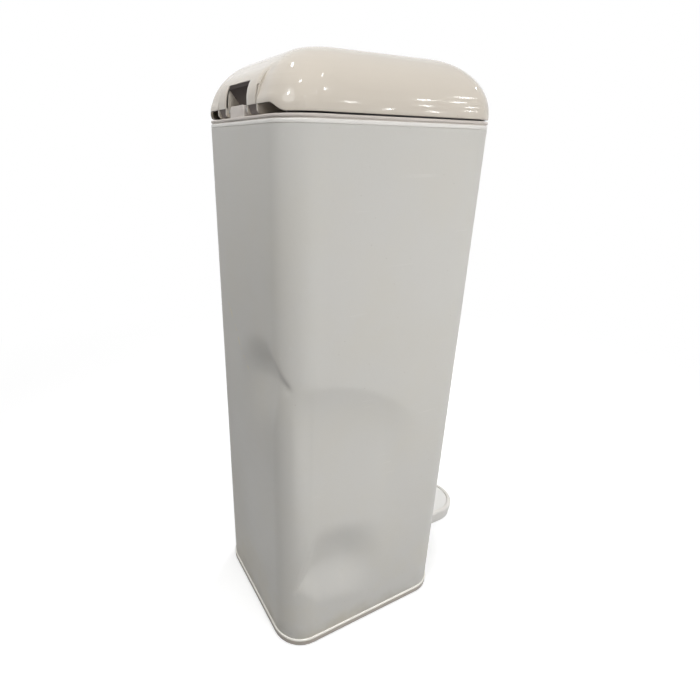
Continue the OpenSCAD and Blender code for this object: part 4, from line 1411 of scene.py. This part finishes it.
# plastics and rubber share one recipe, each with its own values
finishes = {
    "lidPlastic": {
        "colour": tint(206, 197, 184), "dirt": tint(150, 140, 126), "gloss": (0.055, 0.095), "drift": 0.006,
        "scratch": 0.35, "grime": 0.0, "specks": 0.35, "grain": (500, 45), "depth": 0.00001, "shine": 0.5,
    },
    "collarPlastic": {
        "colour": tint(206, 198, 191), "dirt": tint(140, 130, 118), "gloss": (0.34, 0.46), "drift": 0.008,
        "scratch": 0.25, "grime": 0.0, "specks": 0.35, "grain": (900, 45), "depth": 0.00003, "shine": 0.3,
    },
    # a darker copy of the lid's plastic: painted shade inside the hinge pocket; its dirt colour is the
    # painted shade at the pocket's top
    "pocketPaintedShade": {
        "colour": tint(126, 118, 115), "dirt": tint(56, 50, 48), "gloss": (0.6, 0.7), "drift": 0.03,
        "scratch": 0.2, "grime": 0.0, "specks": 0.6, "grain": (1300, 45), "depth": 0.00006, "shine": 0.1,
        "deep": (0.594, 0.610, 0.75),     # from and to height, share: painted shade that darkens the pocket toward its top edge
    },
    # a paler copy of the white plastic, painted light on the trim's nose; below about 9 mm it turns toward
    # the dirt colour, painted shade on the lower band
    "baseTrimPaintedLightAndShade": {
        "colour": tint(250, 247, 239), "dirt": tint(152, 142, 131), "gloss": (0.26, 0.38), "drift": 0.008,
        "scratch": 0.30, "grime": 0.0, "specks": 0.25, "grain": (1300, 90), "depth": 0.00003, "shine": 0.5,
        "deep": (0.0092, 0.0080, 0.85),
    },
    "whitePlastic": {
        "colour": tint(229, 226, 221), "dirt": tint(150, 140, 124), "gloss": (0.26, 0.38), "drift": 0.008,
        "scratch": 0.30, "grime": 0.45, "specks": 0.25, "grain": (1300, 90), "depth": 0.00003, "shine": 0.5,
    },
    "padPlastic": {
        "colour": tint(238, 237, 234), "dirt": tint(140, 130, 115), "gloss": (0.42, 0.55), "drift": 0.012,
        "scratch": 0.55, "grime": 0.25, "specks": 0.4, "grain": (700, 200), "depth": 0.00016, "shine": 0.4,
    },
    "bucketPlastic": {
        "colour": tint(150, 152, 154), "dirt": tint(112, 106, 98), "gloss": (0.40, 0.56), "drift": 0.012,
        "scratch": 0.45, "grime": 0.3, "specks": 0.2, "grain": (1500, 60), "depth": 0.00008, "shine": 0.4,
    },
    "linerPlastic": {
        "colour": tint(206, 203, 197), "dirt": tint(140, 132, 120), "gloss": (0.36, 0.48), "drift": 0.01,
        "scratch": 0.25, "grime": 0.0, "specks": 0.25, "grain": (1500, 60), "depth": 0.00006, "shine": 0.4,
    },
    "footRubber": {
        "colour": tint(30, 30, 32), "dirt": tint(96, 90, 82), "gloss": (0.68, 0.82), "drift": 0.02,
        "scratch": 0.25, "grime": 0.5, "specks": 0.5, "grain": (1100, 160), "depth": 0.0001, "shine": 0.3,
    },
    "sealRubber": {
        "colour": tint(98, 96, 96), "dirt": tint(150, 144, 134), "gloss": (0.55, 0.68), "drift": 0.015,
        "scratch": 0.1, "grime": 0.0, "specks": 0.4, "grain": (1100, 80), "depth": 0.00005, "shine": 0.3,
    },
}


def moulded(name):
    look = finishes[name]
    made, tree, shader = newMaterial(name, Specular_IOR_Level=look["shine"])
    shade = {"color": look["colour"], "scale": 9, "drift": look["drift"], "speckle": 0.006}
    colour = useGroup(tree, mottle, **shade)["Color"]
    worn = useGroup(tree, hairlines, scale=1, amount=look["scratch"])["Mask"]
    dirty = useGroup(tree, grime, top=0.05, amount=look["grime"], specks=look["specks"])["Mask"]
    pale = [min(c * 1.12 + 0.02, 1) for c in look["colour"]]
    colour = blendColours(tree, times(tree, worn, 0.5), colour, pale)
    # painted shade where a finish has one: the colour turns toward its dirt colour between two heights, on
    # top of the real dirt
    if "deep" in look:
        start, end, most = look["deep"]
        height = heightOf(tree, objectSpace(tree))
        dirty = larger(tree, dirty, span(tree, height, start, end, 0, most, smooth=True))
    colour = blendColours(tree, dirty, colour, look["dirt"])
    low, high = look["gloss"]
    rough = useGroup(tree, smears, scale=16, low=low, high=high)["Value"]
    rough = plus(tree, rough, times(tree, plus(tree, worn, dirty), 0.22))
    fine, wave = look["grain"]
    height = useGroup(tree, grain, scale=fine, wave=wave)["Height"]
    dress(tree, shader, colour, rough, minus(tree, height, times(tree, worn, 0.4)), look["depth"])
    return made


paintLook = {
    "colour": tint(205, 203, 198),
    "yellowed": tint(206, 198, 178),
    "dirt": tint(142, 132, 116),
    "gloss": (0.42, 0.52),
    "rub": tint(222, 212, 178),
    "rubLine": ((0.048, 0.401), (-0.004, 0.333)),    # x and z of a row of rubbed marks on the back
    "rubWidth": (0.0016, 0.0004),
    "rubEnd": 0.006,
    "rubFrom": (0.110, 0.113),      # how far back the marks start
    "wander": (60, 0.006),
    "breaks": (130, 0.47, 0.56),
    "aged": (11, 0.42, 0.7),
    "agedLow": (0.10, 0.02, 0.15, 0.6),     # more of it near the floor
    "scratched": tint(226, 224, 220),
    "peel": 0.00004,
    "peelScale": (1100, 240),
}


def rubbedMarks(tree):
    # a row of short pale marks where something has rubbed along the back
    where = objectSpace(tree)
    split = addNode(tree, "SeparateXYZ", {0: where}).outputs
    (x0, z0), (x1, z1) = paintLook["rubLine"]
    length = math.hypot(x1 - x0, z1 - z0)
    ux, uz = (x1 - x0) / length, (z1 - z0) / length
    dx, dz = minus(tree, split["X"], x0), minus(tree, split["Z"], z0)
    along = plus(tree, times(tree, dx, ux), times(tree, dz, uz))
    across = minus(tree, times(tree, dx, uz), times(tree, dz, ux))
    scale, most = paintLook["wander"]
    wander = times(tree, minus(tree, noise(tree, where, scale), 0.5), most)
    across = calc(tree, "ABSOLUTE", plus(tree, across, wander))
    touched = span(tree, across, *paintLook["rubWidth"])
    end = paintLook["rubEnd"]
    ends = times(tree, span(tree, along, 0, end), span(tree, along, length, length - end))
    scale, *limits = paintLook["breaks"]
    broken = span(tree, noise(tree, objectSpace(tree, turn=(0, 37, 0)), scale), *limits)
    onBack = span(tree, split["Y"], *paintLook["rubFrom"])
    return times(tree, times(tree, touched, ends), times(tree, broken, onBack))


def paintedSteel():
    made, tree, shader = newMaterial("bodyPaint", Specular_IOR_Level=0.3)
    where = objectSpace(tree)
    colour = useGroup(tree, mottle, color=paintLook["colour"], scale=5, drift=0.010, speckle=0.008)["Color"]
    height = heightOf(tree, where)
    scale, *limits = paintLook["aged"]
    aged = span(tree, noise(tree, where, scale, 4, 0.6), *limits)
    aged = times(tree, aged, span(tree, height, *paintLook["agedLow"]))
    colour = blendColours(tree, aged, colour, paintLook["yellowed"])
    marks = rubbedMarks(tree)
    colour = blendColours(tree, times(tree, marks, 0.75), colour, paintLook["rub"])
    worn = useGroup(tree, hairlines, scale=0.8, amount=0.5)["Mask"]
    dirty = useGroup(tree, grime, top=0.035, amount=0.35, specks=0.3)["Mask"]
    colour = blendColours(tree, times(tree, worn, 0.35), colour, paintLook["scratched"])
    colour = blendColours(tree, dirty, colour, paintLook["dirt"])
    low, high = paintLook["gloss"]
    rough = useGroup(tree, smears, scale=10, low=low, high=high)["Value"]
    rubbed = plus(tree, plus(tree, worn, dirty), marks)
    rough = plus(tree, rough, times(tree, rubbed, 0.2))
    fine, wave = paintLook["peelScale"]
    peel = useGroup(tree, grain, scale=fine, wave=wave)["Height"]
    dress(tree, shader, colour, rough, minus(tree, peel, times(tree, worn, 0.5)), paintLook["peel"])
    return made


def poreEdges(tree, where, scale):
    made = addNode(tree, "TexVoronoi", {"Vector": where, "Scale": scale}, feature="DISTANCE_TO_EDGE")
    return made.outputs["Distance"]


foamLook = {
    "pores": (620, 1300),
    "dark": tint(13, 13, 14),
    "wall": tint(64, 64, 67),
    "rough": 0.95,
    "depth": 0.0006,
}


def openFoam():
    # dark foam, all pores
    made, tree, shader = newMaterial("filterFoam", Specular_IOR_Level=0.2)
    where = objectSpace(tree)
    coarse, fine = [poreEdges(tree, where, scale) for scale in foamLook["pores"]]
    wall = plus(tree, span(tree, coarse, 0.16, 0.0), times(tree, span(tree, fine, 0.14, 0.0), 0.5))
    colour = blendColours(tree, wall, foamLook["dark"], foamLook["wall"])
    dress(tree, shader, colour, foamLook["rough"], wall, foamLook["depth"])
    return made


zincLook = {
    "colour": tint(196, 199, 204),
    "clouded": tint(176, 172, 158),
    "cloud": (240, 0.35, 0.7),
    "gloss": (0.24, 0.40),
    "drawn": (0.04, 2200),      # how far it is drawn out, and its scale
    "depth": 0.00003,
}


def zincPlate():
    # bright zinc, faintly clouded and drawn along its length
    made, tree, shader = newMaterial("platedSteel", Metallic=1.0)
    colour = useGroup(tree, mottle, color=zincLook["colour"], scale=60, drift=0.04, speckle=0.02)["Color"]
    worn = useGroup(tree, hairlines, scale=3, amount=0.9)["Mask"]
    scale, *limits = zincLook["cloud"]
    cloud = span(tree, noise(tree, objectSpace(tree), scale, 4, 0.7), *limits)
    colour = blendColours(tree, times(tree, cloud, 0.25), colour, zincLook["clouded"])
    rough = plus(tree, span(tree, cloud, 0, 1, *zincLook["gloss"]), times(tree, worn, 0.2))
    length, scale = zincLook["drawn"]
    drawn = noise(tree, objectSpace(tree, (1, 1, length)), scale)
    dress(tree, shader, colour, rough, minus(tree, drawn, worn), zincLook["depth"])
    return made


leverLook = {
    "crystals": 210,
    "bend": (90, 0.006),        # scale and size of the crooks in their edges
    "tones": (tint(150, 153, 158), tint(196, 199, 203)),
    "dirt": tint(108, 100, 90),
    "gloss": (0.28, 0.46),
    "depth": 0.00004,
}


def spangledSteel():
    # galvanised sheet: flat crystals of slightly different tone and gloss
    made, tree, shader = newMaterial("leverSteel", Metallic=1.0)
    where = objectSpace(tree)
    scale, size = leverLook["bend"]
    warp = addNode(tree, "TexNoise", {"Vector": where, "Scale": scale})
    small = addNode(tree, "VectorMath", {0: warp.outputs["Color"], "Scale": size}, operation="SCALE")
    bent = addNode(tree, "VectorMath", {0: where, 1: small.outputs[0]}, operation="ADD")
    cells = addNode(tree, "TexVoronoi", {"Vector": bent.outputs[0], "Scale": leverLook["crystals"]})
    share = addNode(tree, "SeparateColor", {0: cells.outputs["Color"]}).outputs
    colour = blendColours(tree, share[0], *leverLook["tones"])
    dirty = useGroup(tree, grime, top=0.05, amount=0.25, specks=0.5)["Mask"]
    colour = blendColours(tree, dirty, colour, leverLook["dirt"])
    worn = useGroup(tree, hairlines, scale=1.5, amount=0.9)["Mask"]
    rubbed = times(tree, plus(tree, worn, dirty), 0.25)
    rough = plus(tree, span(tree, share[1], 0, 1, *leverLook["gloss"]), rubbed)
    relief = minus(tree, times(tree, share[2], 0.3), worn)
    dress(tree, shader, colour, rough, relief, leverLook["depth"])
    return made


paint = paintedSteel()
cream, satin, shaded, trimPaintedLightAndShade, white, pad, grey, panel, foot, seal = [moulded(name) for name in finishes]
foam, zinc, lever = openFoam(), zincPlate(), spangledSteel()

# the solids that keep their own shape get the same finishes
cadFinishes = {
    "base_plate": white, "pivot_bracket": white, "rod_guide": white, "rod_head": white,
    "filter_disc": foam, "pedal_lever": lever,
}
for name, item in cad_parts.items():
    item.data.materials.clear()
    item.data.materials.append(cadFinishes.get(name, zinc))
print("materials done")

place(buildSleeve(), "bin_body", "body_paint", paint, "steel_body")
print("sleeve done")
place(buildEdgeBand(), "bin_body", "white_plastic", white, "edge_band")
place(buildCollar(), "bin_body", "lid_plastic", satin, "collar")
place(buildFoot(), "bin_body", "foot_rubber", foot, "foot_ring")
# the base trim takes the paler copy of the white plastic, with painted shade on its lower band
place(buildBaseTrim(), "bin_body", "white_plastic", trimPaintedLightAndShade, "base_ring")
place(buildBezel(), "bin_body", "white_plastic", white, "slot_bezel")
print("rings done")
place(buildBucket(), "bin_body", "bucket_plastic", grey, "inner_bucket")
place(buildBagRing(), "bin_body", "white_plastic", white, "bag_ring")
print("bucket done")
place(buildLid(), "lid", "lid_plastic", cream, "lid_shell")
# the pocket's back and the panels beside it take the darker copy of the lid's plastic: painted shade
place(buildPocketBack(), "lid", "lid_plastic", shaded)
place(buildLiner(), "lid", "liner_plastic", panel, "lid_liner")
place(buildSeal(), "lid", "seal_rubber", seal, "lid_gasket")
place(buildFilterCap(), "filter_cap", "liner_plastic", panel, "filter_cover")
print("lid done")
place(buildPedal(), "pedal", "white_plastic", white, "pedal")
place(buildPedalPad(), "pedal", "pad_plastic", pad, "pedal_pad")
print("pedal done")


light = {
    "horizon": 0.08,
    "overhead": 0.40,
    "bounce": 0.08,         # how pale the floor is to all but the camera, gloss and glass
    "paper": 0.80,
    "glow": 0.42,
    "fade": (0.35, 1.3),    # the floor turns to plain white between these distances
    "floor": 12,
    "lamps": {
        # place, aim, size, energy, whether it is mirrored
        "lowSideLamp": ((-0.95, -0.10, 0.30), (0, 0, 0.30), 0.4, 2.6, False),
        "nearSideLamp": ((-0.5, -0.4, 0.55), (-0.1, 0, 0.15), 0.25, 0.75, False),
        "highSideLamp": ((-0.9, 0.2, 1.3), (0, 0, 0.4), 0.5, 3.5, False),
        "nearBackLamp": ((0.0, 0.55, 1.1), (0, 0.1, 0.45), 0.4, 1.5, False),
        "frontLamp": ((0.9, -1.2, 0.8), (0, 0, 0.3), 0.6, 11, False),
        "farBackLamp": ((-0.5, 1.6, 1.5), (0, 0, 0.4), 1.0, 6.6, True),
    },
}
# small ceiling lamps, mirrored in the lid: place, size and energy
smallLamps = [
    ((-0.41, 1.79, 1.97), 0.18, 2.2), ((-0.72, 0.90, 2.56), 0.18, 2.2), ((-0.86, -0.71, 2.52), 0.08, 0.45),
    ((-1.60, -0.89, 1.88), 0.10, 0.7), ((-1.85, -1.07, 1.31), 0.06, 0.22), ((-1.84, -1.27, 0.96), 0.06, 0.2),
    ((-1.47, -1.46, 1.54), 0.08, 0.45), ((-1.63, -1.47, 1.23), 0.06, 0.25),
    ((-1.69, -1.51, 0.93), 0.06, 0.22),
    ((-1.37, -1.63, 1.47), 0.07, 0.3), ((-1.15, -1.65, 1.71), 0.08, 0.4), ((-0.16, -1.88, 1.88), 0.10, 0.7),
    ((0.93, 0.32, 2.56), 0.10, 0.7), ((-1.81, 0.92, 1.71), 0.06, 0.3), ((-1.80, -0.14, 1.97), 0.06, 0.35),
    ((-2.14, -0.30, 1.30), 0.05, 0.18), ((-2.06, 0.91, 1.15), 0.05, 0.14), ((-2.25, 0.33, 0.96), 0.05, 0.12),
    ((-1.36, 1.63, 1.53), 0.05, 0.14), ((-1.45, -1.69, 1.24), 0.06, 0.2), ((-1.52, -1.70, 1.02), 0.06, 0.18),
]


def addLamp(name, location, aim, size, energy, mirrored=True):
    data = bpy.data.lights.new(name, "AREA")
    data.energy = energy
    data.shape = "DISK"
    data.size = size
    made = bpy.data.objects.new(name, data)
    bpy.context.scene.collection.objects.link(made)
    made.location = location
    made.rotation_euler = (Vector(aim) - Vector(location)).to_track_quat("-Z", "Y").to_euler()
    made.visible_glossy = mirrored
    made.visible_camera = False


def seenRays(tree):
    # 1 for rays that show the background: camera, gloss and glass
    path = addNode(tree, "LightPath").outputs
    seen = larger(tree, path["Is Camera Ray"], path["Is Glossy Ray"])
    return larger(tree, seen, path["Is Transmission Ray"])


def setUpWorld():
    world = bpy.data.worlds.new("studio")
    bpy.context.scene.world = world
    world.use_nodes = True
    tree = world.node_tree
    upwards = heightOf(tree, addNode(tree, "TexCoord").outputs["Generated"])
    sky = span(tree, upwards, 0.0, 0.8, light["horizon"], light["overhead"])
    strength = span(tree, seenRays(tree), 0.0, 1.0, sky)
    background = tree.nodes["Background"]
    background.inputs["Color"].default_value = (1, 1, 1, 1)
    tree.links.new(strength, background.inputs["Strength"])


def layFloor():
    bpy.ops.object.select_all(action="DESELECT")
    bpy.ops.mesh.primitive_plane_add(size=light["floor"], location=(0, 0, 0))
    floor = bpy.context.object
    floor.name = "floor"
    made = bpy.data.materials.new("floorPaper")
    made.use_nodes = True
    tree = made.node_tree
    tree.nodes.remove(tree.nodes["Principled BSDF"])
    where = addNode(tree, "TexCoord").outputs["Object"]
    away = addNode(tree, "VectorMath", {0: where}, operation="LENGTH").outputs["Value"]
    dull = addNode(tree, "BsdfDiffuse", {"Color": (light["bounce"],) * 3 + (1,)})
    pale = addNode(tree, "BsdfDiffuse", {"Color": (light["paper"],) * 3 + (1,)})
    glow = addNode(tree, "Emission", {"Color": (1, 1, 1, 1), "Strength": light["glow"]})
    inner = addNode(tree, "AddShader", {0: pale.outputs[0], 1: glow.outputs[0]})
    bright = addNode(tree, "Emission", {"Color": (1, 1, 1, 1), "Strength": 1.0})
    far = span(tree, away, *light["fade"], smooth=True)
    shown = addNode(tree, "MixShader", {0: far, 1: inner.outputs[0], 2: bright.outputs[0]})
    mixed = addNode(tree, "MixShader", {0: seenRays(tree), 1: dull.outputs[0], 2: shown.outputs[0]})
    tree.links.new(mixed.outputs[0], tree.nodes["Material Output"].inputs["Surface"])
    floor.data.materials.append(made)


bpy.context.scene.view_settings.view_transform = "Standard"
setUpWorld()
for name, values in light["lamps"].items():
    addLamp(name, *values)
for i, (location, size, energy) in enumerate(smallLamps):
    addLamp(f"smallLamp{i}", location, (0, 0, 0.6), size, energy)
layFloor()
print("light done")
